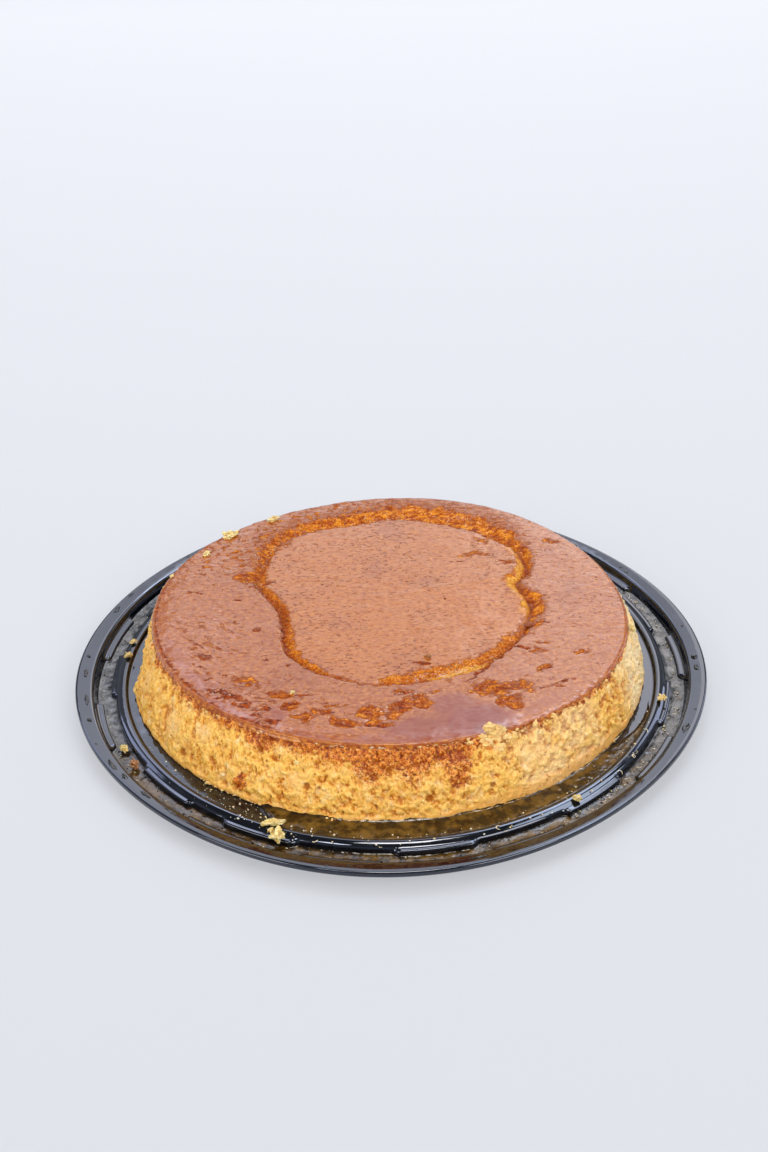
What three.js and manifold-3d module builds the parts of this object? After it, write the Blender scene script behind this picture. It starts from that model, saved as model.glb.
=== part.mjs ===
import * as THREE from 'three';
import { ImprovedNoise } from 'three/addons/math/ImprovedNoise.js';
import { mergeVertices } from 'three/addons/utils/BufferGeometryUtils.js';
import Module from 'manifold-3d';

// A round caramel custard (leche flan), turned out of its pan onto a black catering tray.
// Millimetres, +Z up. The origin is the tray's centre, on the table.

// The tray is pressed from one thin sheet. From its centre outwards it has a raised platform,
// a low ridge, a channel that it stands on, and a rim with a turned-down lip.
const SHEET = 0.8;
const PLATFORM_HEIGHT = 5.8;
const RIDGE_FOOT_RADIUS = 128.9;
const RIDGE_INNER_RADIUS = 129.7;
const RIDGE_OUTER_RADIUS = 134.3;
const RIDGE_INNER_HEIGHT = 7.8;
const RIDGE_HEIGHT = 8.1;
const CHANNEL_INNER_RADIUS = 135.8;
const CHANNEL_OUTER_RADIUS = 141.6;
const RIM_INNER_RADIUS = 145.2;
const RIM_OUTER_RADIUS = 151.6;
const RIM_INNER_HEIGHT = 11.0;
const RIM_OUTER_HEIGHT = 10.3;
const LIP_RADIUS = 152.4;
const LIP_SHOULDER_HEIGHT = 9.3;
const LIP_HEIGHT = 7.2;
const TRAY_STEPS = 88;

// The rim has sprung a little: it stands out where it crosses the X and Y axes.
const RIM_WARP = 1.3;
const RIM_WARP_LOBES = 4;

// Stacking lugs bulge into the channel from the ridge, where they start at these directions,
// and from the outer wall, each a turn further on.
const LUG_STARTS = [10, 44, 77, 111, 144, 174, 214, 237, 270, 303, 337];
const LUG_DEGREES = 14.5;
const OUTER_LUG_TURN = 16.5;
const LUG_STEPS = 4;
const LUG_DRAFT = 0.3;
const INNER_LUG_RADIUS = 136.9;
const INNER_LUG_HEIGHT = 7.3;
const OUTER_LUG_RADIUS = 140.2;
const OUTER_LUG_HEIGHT = 6.4;

// Faces that touch keep this much air between them.
const GAP = 0.3;

// Thin syrup has run off the custard: round the channel, and into a pool on the platform in front.
const CHANNEL_SYRUP_LEVEL = 4.3;
const POOL_LEVEL = 7.0;
const POOL_START_DEGREES = 235;
const POOL_END_DEGREES = 337.5;
const POOL_FADE_DEGREES = 16;
const POOL_END_WIDTH = 1.2;

// The custard. Its side leans in from a wide foot to a smaller top, bellied low down.
const FLAN_STEPS = 144;
const FLAN_BOTTOM = PLATFORM_HEIGHT + GAP;
const FLAN_TOP = 35.8;
const FOOT_CENTRE = new THREE.Vector2(-1.1, 5.3);
const FOOT_RADIUS_X = 125.6;
const FOOT_RADIUS_Y = 122.4;
const FOOT_LIMIT = RIDGE_FOOT_RADIUS - 0.7;
const TOP_CENTRE = new THREE.Vector2(-1.1, 8.0);
const TOP_RADIUS = 112.3;
const SIDE_BELLY = 1.45;
const SIDE_ROWS = [0, 0.07, 0.2, 0.36, 0.52, 0.68, 0.83, 0.94];
const SIDE_ROUGHNESS = 0.9;
const SIDE_LUMP_SIZE = 8;
const EDGE_ROUND = 1.2;
// The top's outline is a circle with these waves: lobes round it, height, and where one peaks.
const TOP_WAVES = [
  { lobes: 1, height: 1.3, peak: 352 },
  { lobes: 2, height: 3.0, peak: 353 },
  { lobes: 3, height: 0.9, peak: 75 },
  { lobes: 4, height: 0.9, peak: 335 },
];

// A sunken crease runs round the top, between a middle pad and an outer band.
// It is given about its own centre as direction in degrees and distance.
const CREASE_CENTRE = new THREE.Vector2(1, 18);
const CREASE = [
  [7, 63.7], [14, 70.5], [31, 78.4], [52, 86], [78, 81.6], [97, 79.8], [108, 83.5], [120, 83.9],
  [133, 80.1], [145, 76.4], [164, 69.6], [174, 64.5], [191, 55.8], [209, 59.6], [223, 67.5],
  [234, 70.7], [246, 71.5], [258, 74.4], [265, 69.6], [282, 69.3], [292, 75.2], [307, 75.3],
  [321, 72.6], [336, 71.3], [351, 68.9],
];
const CREASE_DEPTH = 2.1;
const PAD_DEPTH = 0.55;
const BACK_PAD_DEPTH = 1.5;
const SCARP_WIDTH = 2.4;
const BACK_SCARP_WIDTH = 9;
const TOP_WAVINESS = 0.35;
const TOP_WAVE_SIZE = 14;

// Crumbs and torn flakes stuck to the custard's top edge: place, size, turn, and height of centre.
const STUCK_CRUMBS = [
  { at: [-82.6, 80.2], size: [10, 6.5, 5], turn: 30, middle: 36.6 },
  { at: [-60.6, 96.0], size: [8.5, 4.5, 3.6], turn: 25, middle: 36.4 },
  { at: [-93.6, 60.8], size: [4.6, 3.4, 3.2], turn: 60, middle: 36.2 },
  { at: [43.0, -92.6], size: [12, 3.6, 6.5], turn: 12, middle: 36.0 },
  { at: [115.4, -14.6], size: [3.4, 8, 4.2], turn: 5, middle: 34.8 },
  { at: [-63.4, -10.2], size: [6, 4.5, 2.2], turn: 10, middle: 35.9 },
];

// Loose crumbs on the tray: name, place, size, turn, and the height of what holds them up.
const LOOSE_CRUMBS = [
  { name: 'crumb_front_long', at: [-52, -119.2], size: [11.3, 4.5, 3.2], turn: 4, on: RIDGE_HEIGHT },
  { name: 'crumb_front_fat', at: [-50.2, -127.4], size: [7.6, 8, 4.8], turn: 8, on: RIDGE_HEIGHT },
  { name: 'crumb_ridge_back', at: [-129.6, 21.4], size: [4.4, 3.4, 2.4], turn: 15, on: RIDGE_HEIGHT },
  { name: 'crumb_ridge_left', at: [-130.4, 9.4], size: [4.4, 4.4, 2.8], turn: -20, on: RIDGE_HEIGHT },
  { name: 'crumb_pale', at: [-123.7, -60.9], size: [4, 5.4, 3.6], turn: 26, on: CHANNEL_SYRUP_LEVEL },
  { name: 'crumb_brown', at: [-117.3, -73.2], size: [4.6, 6, 4.2], turn: 32, on: CHANNEL_SYRUP_LEVEL },
  { name: 'crumb_ridge_right', at: [127.6, -38.0], size: [4.8, 5, 3], turn: 12, on: RIDGE_HEIGHT },
  { name: 'crumb_ridge_front', at: [79.4, -108.2], size: [3.8, 3.6, 2.6], turn: 30, on: RIDGE_HEIGHT },
];

const CUSTARD = new THREE.MeshStandardMaterial({ color: 0xd9933c, roughness: 0.55, metalness: 0 });
const CRUMB = new THREE.MeshStandardMaterial({ color: 0xe6bd72, roughness: 0.6, metalness: 0 });
const SYRUP = new THREE.MeshStandardMaterial({ color: 0x4a2a10, roughness: 0.08, metalness: 0 });
const PLASTIC = new THREE.MeshStandardMaterial({ color: 0x16171b, roughness: 0.15, metalness: 0 });

const noise = new ImprovedNoise();
const wasm = await Module();
wasm.setup();

function radians(degrees) {
  return THREE.MathUtils.degToRad(degrees);
}

// How far round from one direction to another, 0 to 180 degrees.
function turnBetween(degrees, other) {
  const turn = Math.abs(degrees - other) % 360;
  return Math.min(turn, 360 - turn);
}

// 1 facing the back of the custard, falling to 0 away from it.
function backness(degrees) {
  return 1 - THREE.MathUtils.smoothstep(turnBetween(degrees, 88), 35, 62);
}

// Shared corners, and no triangle that has shrunk to a line at a pole.
function tidied(geometry) {
  geometry.deleteAttribute('normal');
  geometry.deleteAttribute('uv');
  const merged = mergeVertices(geometry, 1e-4);
  const corners = [];
  for (let i = 0; i < merged.index.count; i += 3) {
    const [a, b, c] = [0, 1, 2].map((k) => merged.index.getX(i + k));
    if (a !== b && b !== c && c !== a) corners.push(a, b, c);
  }
  merged.setIndex(corners);
  return merged;
}

function solidOf(geometry) {
  const merged = tidied(geometry);
  const vertProperties = new Float32Array(merged.attributes.position.array);
  const triVerts = new Uint32Array(merged.index.array);
  return new wasm.Manifold(new wasm.Mesh({ numProp: 3, vertProperties, triVerts }));
}

function geometryOf(solid) {
  const mesh = solid.getMesh();
  const geometry = new THREE.BufferGeometry();
  geometry.setAttribute('position', new THREE.BufferAttribute(mesh.vertProperties, 3));
  geometry.setIndex(new THREE.BufferAttribute(mesh.triVerts, 1));
  geometry.computeVertexNormals();
  return geometry;
}

// A lathe about +Z, each of whose points is then moved by place(row, degrees, point).
function unevenLathe(profile, steps, place) {
  const points = profile.map(([radius, height]) => new THREE.Vector2(radius, height));
  const geometry = new THREE.LatheGeometry(points, steps);
  geometry.rotateX(Math.PI / 2);
  const position = geometry.attributes.position;
  const point = new THREE.Vector3();
  for (let step = 0; step <= steps; step += 1) {
    const degrees = ((step % steps) * 360) / steps;
    for (let row = 0; row < profile.length; row += 1) {
      const index = step * profile.length + row;
      const [radius, height] = profile[row];
      const angle = radians(degrees);
      point.set(radius * Math.cos(angle), radius * Math.sin(angle), height);
      if (radius > 0) place(row, degrees, point);
      position.setXYZ(index, point.x, point.y, point.z);
    }
  }
  return geometry;
}

// The same line moved sideways, to the right of its direction of travel.
function besideLine(line, distance) {
  const corners = line.map(([x, y]) => new THREE.Vector2(x, y));
  const normals = corners.slice(1).map((corner, i) => {
    const along = corner.clone().sub(corners[i]).normalize();
    return new THREE.Vector2(along.y, -along.x);
  });
  return corners.map((corner, i) => {
    const before = normals[Math.max(i - 1, 0)];
    const after = normals[Math.min(i, normals.length - 1)];
    const mitre = before.clone().add(after).divideScalar(1 + before.dot(after));
    const moved = corner.clone().addScaledVector(mitre, distance);
    return [moved.x, moved.y];
  });
}

// Radius of the ridge's outer wall, and of the channel's outer wall, at a height.
function ridgeWall(height) {
  const share = (height - SHEET) / (RIDGE_HEIGHT - SHEET);
  return THREE.MathUtils.lerp(CHANNEL_INNER_RADIUS, RIDGE_OUTER_RADIUS, share);
}

function channelWall(height) {
  const share = (height - SHEET) / (RIM_INNER_HEIGHT - SHEET);
  return THREE.MathUtils.lerp(CHANNEL_OUTER_RADIUS, RIM_INNER_RADIUS, share);
}

// A turned ring of the given section, cut to a lug's length from the start direction.
function ringStretch(section, start, grown) {
  const radii = section.map(([radius]) => radius);
  const heights = section.map(([, height]) => height);
  const inside = Math.min(...radii) - SHEET;
  const outside = Math.max(...radii) + SHEET;
  const low = Math.min(...heights) - SHEET;
  const depth = Math.max(...heights) + SHEET - low;
  const spread = THREE.MathUtils.radToDeg(grown / inside);
  const [from, to] = [start - spread, start + LUG_DEGREES + spread].map(radians);
  const wedge = new THREE.Shape();
  wedge.absarc(0, 0, outside, from, to, false);
  wedge.absarc(0, 0, inside, to, from, true);
  const options = { depth, bevelEnabled: false, curveSegments: LUG_STEPS };
  const slice = new THREE.ExtrudeGeometry(wedge, options).translate(0, 0, low);
  const ring = unevenLathe([...section, section[0]], TRAY_STEPS, () => {});
  return solidOf(ring).intersect(solidOf(slice));
}

// All lugs, rooted in the sheet's thickness and grown elsewhere by the given amount.
function lugs(grown) {
  const low = SHEET / 2 - grown;
  const root = SHEET / 2;
  const innerTop = INNER_LUG_HEIGHT + grown;
  const innerFace = INNER_LUG_RADIUS + grown;
  const inner = [
    [ridgeWall(low) - root, low],
    [innerFace, low],
    [innerFace - LUG_DRAFT, innerTop],
    [ridgeWall(innerTop) - root, innerTop],
  ];
  const outerTop = OUTER_LUG_HEIGHT + grown;
  const outerFace = OUTER_LUG_RADIUS - grown;
  const outer = [
    [outerFace, low],
    [channelWall(low) + root, low],
    [channelWall(outerTop) + root, outerTop],
    [outerFace + LUG_DRAFT, outerTop],
  ];
  return LUG_STARTS.flatMap((start) => [
    ringStretch(inner, start, grown),
    ringStretch(outer, start + OUTER_LUG_TURN, grown),
  ]);
}

function trayGeometry() {
  const upper = [
    [0, PLATFORM_HEIGHT],
    [RIDGE_FOOT_RADIUS, PLATFORM_HEIGHT],
    [RIDGE_INNER_RADIUS, RIDGE_INNER_HEIGHT],
    [RIDGE_OUTER_RADIUS, RIDGE_HEIGHT],
    [CHANNEL_INNER_RADIUS, SHEET],
    [CHANNEL_OUTER_RADIUS, SHEET],
    [RIM_INNER_RADIUS, RIM_INNER_HEIGHT],
    [RIM_OUTER_RADIUS, RIM_OUTER_HEIGHT],
    [LIP_RADIUS, LIP_SHOULDER_HEIGHT],
    [LIP_RADIUS, LIP_HEIGHT],
  ];
  const lower = besideLine(upper, SHEET);
  const profile = [...lower, ...upper.reverse()];
  const shell = unevenLathe(profile, TRAY_STEPS, (row, degrees, point) => {
    const radius = Math.hypot(point.x, point.y);
    const out = THREE.MathUtils.clamp(
      (radius - CHANNEL_OUTER_RADIUS) / (LIP_RADIUS - CHANNEL_OUTER_RADIUS), 0, 1);
    const warp = RIM_WARP * out * Math.cos(RIM_WARP_LOBES * radians(degrees));
    point.x *= 1 + warp / radius;
    point.y *= 1 + warp / radius;
  });
  return geometryOf(lugs(0).reduce((tray, lug) => tray.add(lug), solidOf(shell)));
}

// Syrup all round the channel, with notches where the lugs stand in it.
function channelSyrupGeometry() {
  const low = SHEET + GAP;
  const high = CHANNEL_SYRUP_LEVEL;
  const profile = [
    [ridgeWall(low) + GAP, low],
    [channelWall(low) - 1.5 * GAP, low],
    [channelWall(high) - 1.5 * GAP, high],
    [ridgeWall(high) + GAP, high],
    [ridgeWall(low) + GAP, low],
  ];
  const ring = unevenLathe(profile, TRAY_STEPS, () => {});
  return geometryOf(lugs(GAP).reduce((syrup, lug) => syrup.subtract(lug), solidOf(ring)));
}

// The custard's foot and top outline in a direction.
function footPoint(degrees) {
  const angle = radians(degrees);
  const foot = new THREE.Vector2(FOOT_RADIUS_X * Math.cos(angle), FOOT_RADIUS_Y * Math.sin(angle));
  foot.add(FOOT_CENTRE);
  return foot.length() > FOOT_LIMIT ? foot.setLength(FOOT_LIMIT) : foot;
}

function topPoint(degrees) {
  let radius = TOP_RADIUS;
  TOP_WAVES.forEach((wave) => {
    radius += wave.height * Math.cos(wave.lobes * radians(degrees - wave.peak));
  });
  const angle = radians(degrees);
  return new THREE.Vector2(radius * Math.cos(angle), radius * Math.sin(angle)).add(TOP_CENTRE);
}

// The crease as a closed smooth curve, looked up by direction.
const creaseCurve = new THREE.CatmullRomCurve3(CREASE.map(([degrees, distance]) => {
  const angle = radians(degrees);
  return new THREE.Vector3(distance * Math.cos(angle), distance * Math.sin(angle), 0);
}), true);
const creaseSamples = creaseCurve.getPoints(CREASE.length * 12);

function creaseDistance(degrees) {
  let nearest = creaseSamples[0];
  let smallest = Infinity;
  creaseSamples.forEach((sample) => {
    const direction = THREE.MathUtils.radToDeg(Math.atan2(sample.y, sample.x)) + 360;
    const turn = turnBetween(direction % 360, degrees);
    if (turn < smallest) {
      smallest = turn;
      nearest = sample;
    }
  });
  return Math.hypot(nearest.x, nearest.y);
}

// A row of the side, from 0 at the foot to 1 at the top edge.
function sidePoint(share, degrees, point) {
  const lean = share ** SIDE_BELLY;
  const flat = footPoint(degrees).lerp(topPoint(degrees), lean);
  const height = THREE.MathUtils.lerp(FLAN_BOTTOM, FLAN_TOP - EDGE_ROUND, share);
  const [x, y, z] = [flat.x, flat.y, height].map((value) => value / SIDE_LUMP_SIZE);
  const lump = Math.min(noise.noise(x, y, z) + 0.5 * noise.noise(2.3 * x, 2.3 * y, 2.3 * z), 0.25);
  const outward = flat.clone().sub(FOOT_CENTRE).normalize();
  flat.addScaledVector(outward, SIDE_ROUGHNESS * (share > 0 ? lump - 0.25 : -0.6));
  point.set(flat.x, flat.y, height);
}

// A row of the top that lies a share of the way from the crease's outer lip to the top edge.
function bandPoint(share, drop, degrees, point) {
  const lip = creasePoint(scarpWidth(degrees), degrees);
  const edge = topPoint(degrees);
  edge.sub(TOP_CENTRE).setLength(edge.length() - EDGE_ROUND).add(TOP_CENTRE);
  const flat = lip.lerp(edge, share);
  point.set(flat.x, flat.y, FLAN_TOP - drop + topWave(flat));
}

function topWave(flat) {
  return TOP_WAVINESS * noise.noise(flat.x / TOP_WAVE_SIZE, flat.y / TOP_WAVE_SIZE, 0.5);
}

function scarpWidth(degrees) {
  return THREE.MathUtils.lerp(SCARP_WIDTH, BACK_SCARP_WIDTH, backness(degrees));
}

// A point beside the crease, at a distance outwards from it.
function creasePoint(outwards, degrees) {
  const angle = radians(degrees);
  const distance = creaseDistance(degrees) + outwards;
  return new THREE.Vector2(distance * Math.cos(angle), distance * Math.sin(angle)).add(CREASE_CENTRE);
}

// A row of the middle pad, a share of the way out from its centre to the crease.
function padPoint(share, degrees, point) {
  const distance = creaseDistance(degrees) * share;
  const flat = creasePoint(distance - creaseDistance(degrees), degrees);
  const inside = (creaseDistance(degrees) - distance) / 8;
  const pad = THREE.MathUtils.lerp(PAD_DEPTH, BACK_PAD_DEPTH, backness(degrees) * share);
  const drop = THREE.MathUtils.lerp(CREASE_DEPTH, pad, THREE.MathUtils.smoothstep(inside, 0, 1));
  point.set(flat.x, flat.y, FLAN_TOP - drop + topWave(flat));
}

// The custard's rows, from the middle of its foot up the side and in over its top.
function flanShell() {
  const rows = [{ radius: 0, height: FLAN_BOTTOM }];
  SIDE_ROWS.forEach((share) => rows.push({ radius: 1, make: (d, p) => sidePoint(share, d, p) }));
  const band = [[1.0, 0.1], [0.9, 0], [0.66, 0], [0.4, 0], [0.15, 0], [0, 0.1]];
  band.forEach(([share, drop]) => {
    rows.push({ radius: 1, make: (d, p) => bandPoint(share, drop, d, p) });
  });
  rows.push({
    radius: 1,
    make: (degrees, point) => {
      const flat = creasePoint(scarpWidth(degrees) / 2, degrees);
      point.set(flat.x, flat.y, FLAN_TOP - CREASE_DEPTH * 0.6);
    },
  });
  [1, 0.97, 0.93, 0.87, 0.7, 0.48, 0.24].forEach((share) => {
    rows.push({ radius: 1, make: (d, p) => padPoint(share, d, p) });
  });
  rows.push({ radius: 0, height: FLAN_TOP - PAD_DEPTH });
  const profile = rows.map((row) => [row.radius, row.height ?? FLAN_TOP]);
  const shell = unevenLathe(profile, FLAN_STEPS, (row, degrees, point) => {
    rows[row].make(degrees, point);
  });
  return movedPoles(shell, rows.length);
}

// The two poles sit under and over the crease's centre, so that no row folds over them.
function movedPoles(geometry, rowCount) {
  const position = geometry.attributes.position;
  for (let index = 0; index < position.count; index += rowCount) {
    [index, index + rowCount - 1].forEach((pole) => {
      position.setXY(pole, CREASE_CENTRE.x, CREASE_CENTRE.y);
    });
  }
  return geometry;
}

// A lumpy crumb of the given size about its own centre, flattened underneath.
function crumbGeometry(size, seed) {
  const geometry = new THREE.IcosahedronGeometry(1, 1);
  const position = geometry.attributes.position;
  const point = new THREE.Vector3();
  for (let i = 0; i < position.count; i += 1) {
    point.fromBufferAttribute(position, i);
    point.multiplyScalar(1 + 0.5 * noise.noise(1.9 * point.x + seed, 1.9 * point.y, 1.9 * point.z));
    point.z = Math.max(point.z, -0.6);
    position.setXYZ(i, point.x, point.y, point.z);
  }
  geometry.center();
  const extent = new THREE.Box3().setFromBufferAttribute(position).getSize(point);
  return geometry.scale(size[0] / extent.x, size[1] / extent.y, size[2] / extent.z);
}

function flanGeometry() {
  const crumbs = STUCK_CRUMBS.map((crumb, i) => {
    const geometry = crumbGeometry(crumb.size, 7.3 * (i + 1));
    geometry.rotateZ(radians(crumb.turn));
    return geometry.translate(...crumb.at, crumb.middle);
  });
  return geometryOf(crumbs.reduce((flan, crumb) => flan.add(solidOf(crumb)), solidOf(flanShell())));
}

// The pool in front: from the custard's foot to the ridge's foot, thinning out at both ends.
function poolGeometry() {
  const stepDegrees = 360 / FLAN_STEPS;
  const count = Math.round((POOL_END_DEGREES - POOL_START_DEGREES) / stepDegrees);
  const geometry = new THREE.BoxGeometry(1, 1, 1, count, 1, 1);
  const position = geometry.attributes.position;
  for (let i = 0; i < position.count; i += 1) {
    const degrees = POOL_START_DEGREES + Math.round((position.getX(i) + 0.5) * count) * stepDegrees;
    const height = position.getZ(i) > 0 ? POOL_LEVEL : PLATFORM_HEIGHT + GAP;
    const foot = footPoint(degrees);
    const outer = RIDGE_FOOT_RADIUS - GAP;
    const fullWidth = outer - foot.length() - GAP;
    const fromEnd = Math.min(degrees - POOL_START_DEGREES, POOL_END_DEGREES - degrees);
    const share = THREE.MathUtils.smoothstep(fromEnd, 0, POOL_FADE_DEGREES);
    const width = THREE.MathUtils.lerp(POOL_END_WIDTH, fullWidth, share);
    foot.setLength(position.getY(i) > 0 ? outer - width : outer);
    position.setXYZ(i, foot.x, foot.y, height);
  }
  return tidied(geometry);
}

function named(name, geometry, material) {
  const mesh = new THREE.Mesh(geometry, material.clone());
  mesh.name = name;
  return mesh;
}

const flanOnTray = new THREE.Group();
flanOnTray.add(named('tray', trayGeometry(), PLASTIC));
flanOnTray.add(named('flan', flanGeometry(), CUSTARD));
flanOnTray.add(named('syrup_channel', channelSyrupGeometry(), SYRUP));
flanOnTray.add(named('syrup_pool', poolGeometry(), SYRUP));

LOOSE_CRUMBS.forEach((crumb, i) => {
  const mesh = named(crumb.name, crumbGeometry(crumb.size, 11.9 * (i + 1)), CRUMB);
  mesh.rotation.z = radians(crumb.turn);
  mesh.position.set(...crumb.at, crumb.on + GAP + crumb.size[2] / 2);
  flanOnTray.add(mesh);
});

export default flanOnTray;
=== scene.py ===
# %% [markdown]
# # A leche flan on its round tray
# A caramel custard about 25 cm across has been turned out of its pan onto a black catering tray.
# This lesson builds every visible piece around the part's own solids, which give each place and
# size. Everything is in metres in Blender, and in millimetres while it is worked out.

# %% Load the solids
import bmesh
import bpy
import math
import numpy as np
from mathutils import Matrix, Vector
from mathutils.kdtree import KDTree


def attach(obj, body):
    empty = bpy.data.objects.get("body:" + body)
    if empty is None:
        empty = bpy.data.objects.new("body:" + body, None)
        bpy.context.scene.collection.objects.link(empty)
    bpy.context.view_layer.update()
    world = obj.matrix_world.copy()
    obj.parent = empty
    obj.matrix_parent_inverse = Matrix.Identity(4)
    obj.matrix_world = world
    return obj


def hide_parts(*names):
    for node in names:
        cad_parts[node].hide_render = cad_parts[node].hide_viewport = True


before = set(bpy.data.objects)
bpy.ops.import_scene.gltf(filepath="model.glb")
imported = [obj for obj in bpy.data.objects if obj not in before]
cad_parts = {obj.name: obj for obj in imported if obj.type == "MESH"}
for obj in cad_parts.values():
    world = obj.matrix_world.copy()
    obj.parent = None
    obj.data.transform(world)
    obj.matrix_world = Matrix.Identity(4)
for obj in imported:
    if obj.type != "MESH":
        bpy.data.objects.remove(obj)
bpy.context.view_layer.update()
MM = 0.001
print("solids", sorted(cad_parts))

# %% [markdown]
# ## Helpers for nodes and colours
# Every finish and every Geometry Nodes tree is written as a list of nodes. One small function adds
# a node, sets it and links it. A Field wraps a node's output, so that outputs add and multiply as
# numbers do, and a Finish is a material under way. Colours are given as sRGB hex values, as a
# paint chart gives them, and turned into the linear numbers that light adds up in.

# %% Nodes and colours
def linear(hex_colour):
    """An sRGB hex colour as linear red, green, blue and alpha."""
    channels = [int(hex_colour[i : i + 2], 16) / 255 for i in (1, 3, 5)]
    return [c / 12.92 if c <= 0.04045 else ((c + 0.055) / 1.055) ** 2.4 for c in channels] + [1.0]


def feed(tree, node, links):
    """Fills a node's inputs. Each value is a number, a hex colour, a socket or a Field."""
    for name, value in links.items():
        value = value.socket if isinstance(value, Field) else value
        if isinstance(value, bpy.types.NodeSocket):
            tree.links.new(value, node.inputs[name])
        else:
            is_colour = isinstance(value, str) and value.startswith("#")
            node.inputs[name].default_value = linear(value) if is_colour else value


def add_node(tree, kind, links=None, **settings):
    """Adds a node. settings are its own properties, links are what goes into its inputs."""
    node = tree.nodes.new(kind)
    for name, value in settings.items():
        setattr(node, name, value)
    feed(tree, node, links or {})
    return node


print("pure red as light:", linear("#ff0000"))


# %% Fields
class Field:
    """A node's output that adds and multiplies as numbers do."""

    def __init__(self, tree, socket):
        self.tree, self.socket = tree, socket

    def math(self, operation, other=0.0):
        return result(self.tree, "ShaderNodeMath", {0: self, 1: other}, operation=operation)

    def __add__(self, other):
        return self.math("ADD", other)

    def __sub__(self, other):
        return self.math("SUBTRACT", other)

    def __mul__(self, other):
        return self.math("MULTIPLY", other)

    def most(self, other):
        return self.math("MAXIMUM", other)

    def remap(self, start, end, low=0.0, high=1.0):
        """The value from start to end turned into one from low to high, and held there beyond."""
        return result(self.tree, "ShaderNodeMapRange", {0: self, 1: start, 2: end, 3: low, 4: high})

    def blend(self, first, second):
        """A mix of two colours by this share. Each is a Field or an sRGB hex value."""
        return result(self.tree, "ShaderNodeMix", {0: self, 6: first, 7: second}, 2, data_type="RGBA")

    def bump(self, strength, distance):
        """The value as a height that tilts the surface, for a Normal input."""
        heights = {"Height": self, "Strength": strength, "Distance": distance}
        return result(self.tree, "ShaderNodeBump", heights)


def result(tree, kind, links=None, which=0, **settings):
    """An output of a new node, as a Field."""
    return Field(tree, add_node(tree, kind, links, **settings).outputs[which])


# %% Finishes
class Finish:
    """A material under way, with its node tree and its Object coordinates."""

    def __init__(self, name):
        self.material = bpy.data.materials.new(name)
        self.material.use_nodes = True
        self.tree = self.material.node_tree
        self.place = add_node(self.tree, "ShaderNodeTexCoord").outputs["Object"]

    def noise(self, millimetres, detail=2.0, roughness=0.5, stretch=None):
        """Smooth noise whose largest spots are this wide."""
        place = self.place
        if stretch:
            place = result(self.tree, "ShaderNodeMapping", {"Vector": place, "Scale": stretch})
        return result(self.tree, "ShaderNodeTexNoise", {
            "Vector": place, "Scale": per_metre(millimetres), "Detail": detail, "Roughness": roughness,
        })

    def cells(self, millimetres):
        """Distance to scattered centres, so far apart, and two numbers of the nearest one's own."""
        pattern = {"Vector": self.place, "Scale": per_metre(millimetres)}
        dots = add_node(self.tree, "ShaderNodeTexVoronoi", pattern)
        own = add_node(self.tree, "ShaderNodeSeparateColor", {0: dots.outputs["Color"]})
        return [Field(self.tree, socket) for socket in (dots.outputs["Distance"], *own.outputs[:2])]

    def stored(self, name):
        """A number that the mesh stores at its corners."""
        return result(self.tree, "ShaderNodeAttribute", {}, "Fac", attribute_name=name)

    def wear(self, **inputs):
        """Fills the shader's inputs. Their names have _ for a space."""
        shader = self.tree.nodes["Principled BSDF"]
        feed(self.tree, shader, {name.replace("_", " "): value for name, value in inputs.items()})


def per_metre(millimetres):
    """The texture scale at which one cell of a pattern measures this many millimetres."""
    return 1 / (millimetres * MM)


def painted(colour, layers):
    """Lays colours over each other. Each layer is a share and the colour that covers by it."""
    for share, cover in layers:
        colour = share.blend(colour, cover)
    return colour


print("a pattern of 2 mm has scale", per_metre(2))


# %% Objects
def shown(name, data):
    """A new object in the scene."""
    thing = bpy.data.objects.new(name, data)
    bpy.context.scene.collection.objects.link(thing)
    return thing


# %% [markdown]
# ## Camera, floor and light
# The custard stands on a pale table in a plain studio. Its wet top mirrors what stands behind it:
# that pale veil over the caramel is a reflection, so it needs something bright to reflect. White
# cards stand for that, most of them behind: a wide low pair, and small high ones that only tilted
# places see. A panel above and three in front give the light itself, and the room fills in the
# rest. The table glows a little more far off, so that it stays white out to its edge.

# %% The camera
PICTURE_LENS = 46.875
CAMERA_PLACE = (-0.001974, -0.607616, 0.434969)
CAMERA_RIGHT = (0.99964628, -0.01402347, -0.02259762)
CAMERA_UP = (0.02659531, 0.52710467, 0.8493841)
CAMERA_BACK = (0.0, -0.84968465, 0.52729119)

camera_data = bpy.data.cameras.new("camera")
camera_data.lens = PICTURE_LENS
camera = shown("camera", camera_data)
columns = [CAMERA_RIGHT, CAMERA_UP, CAMERA_BACK, CAMERA_PLACE]
camera.matrix_world = Matrix([[column[row] for column in columns] for row in range(3)] + [[0, 0, 0, 1]])
bpy.context.scene.camera = camera
bpy.context.scene.view_settings.view_transform = "Standard"
print("camera looks from", [round(x, 3) for x in camera.location])

# %% The table top
FLOOR_REACH = 6.0
FLOOR_DROP = 0.0002
floor_mesh = bpy.data.meshes.new("table_top")
corners = [(x * FLOOR_REACH, y * FLOOR_REACH, -FLOOR_DROP) for x, y in ((-1, -1), (1, -1), (1, 1), (-1, 1))]
floor_mesh.from_pydata(corners, [], [(0, 1, 2, 3)])
floor = shown("table_top", floor_mesh)
paint = Finish("matt studio table")
going_back = result(paint.tree, "ShaderNodeSeparateXYZ", {0: paint.place}, "Y")
far_off = result(paint.tree, "ShaderNodeVectorMath", {0: paint.place}, "Value", operation="LENGTH")
# painted light: the table glows by itself, more towards the back and far off, which also keeps its shadows
# pale
glow = going_back.remap(-0.3, 1.6, 0.40, 0.71).most(far_off.remap(1.1, 3.2, 0.40, 0.80))
paint.wear(Base_Color="#96989e", Emission_Color="#f5f7fc", Emission_Strength=glow, Roughness=0.85,
           Specular_IOR_Level=0.15)
floor_mesh.materials.append(paint.material)
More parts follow.
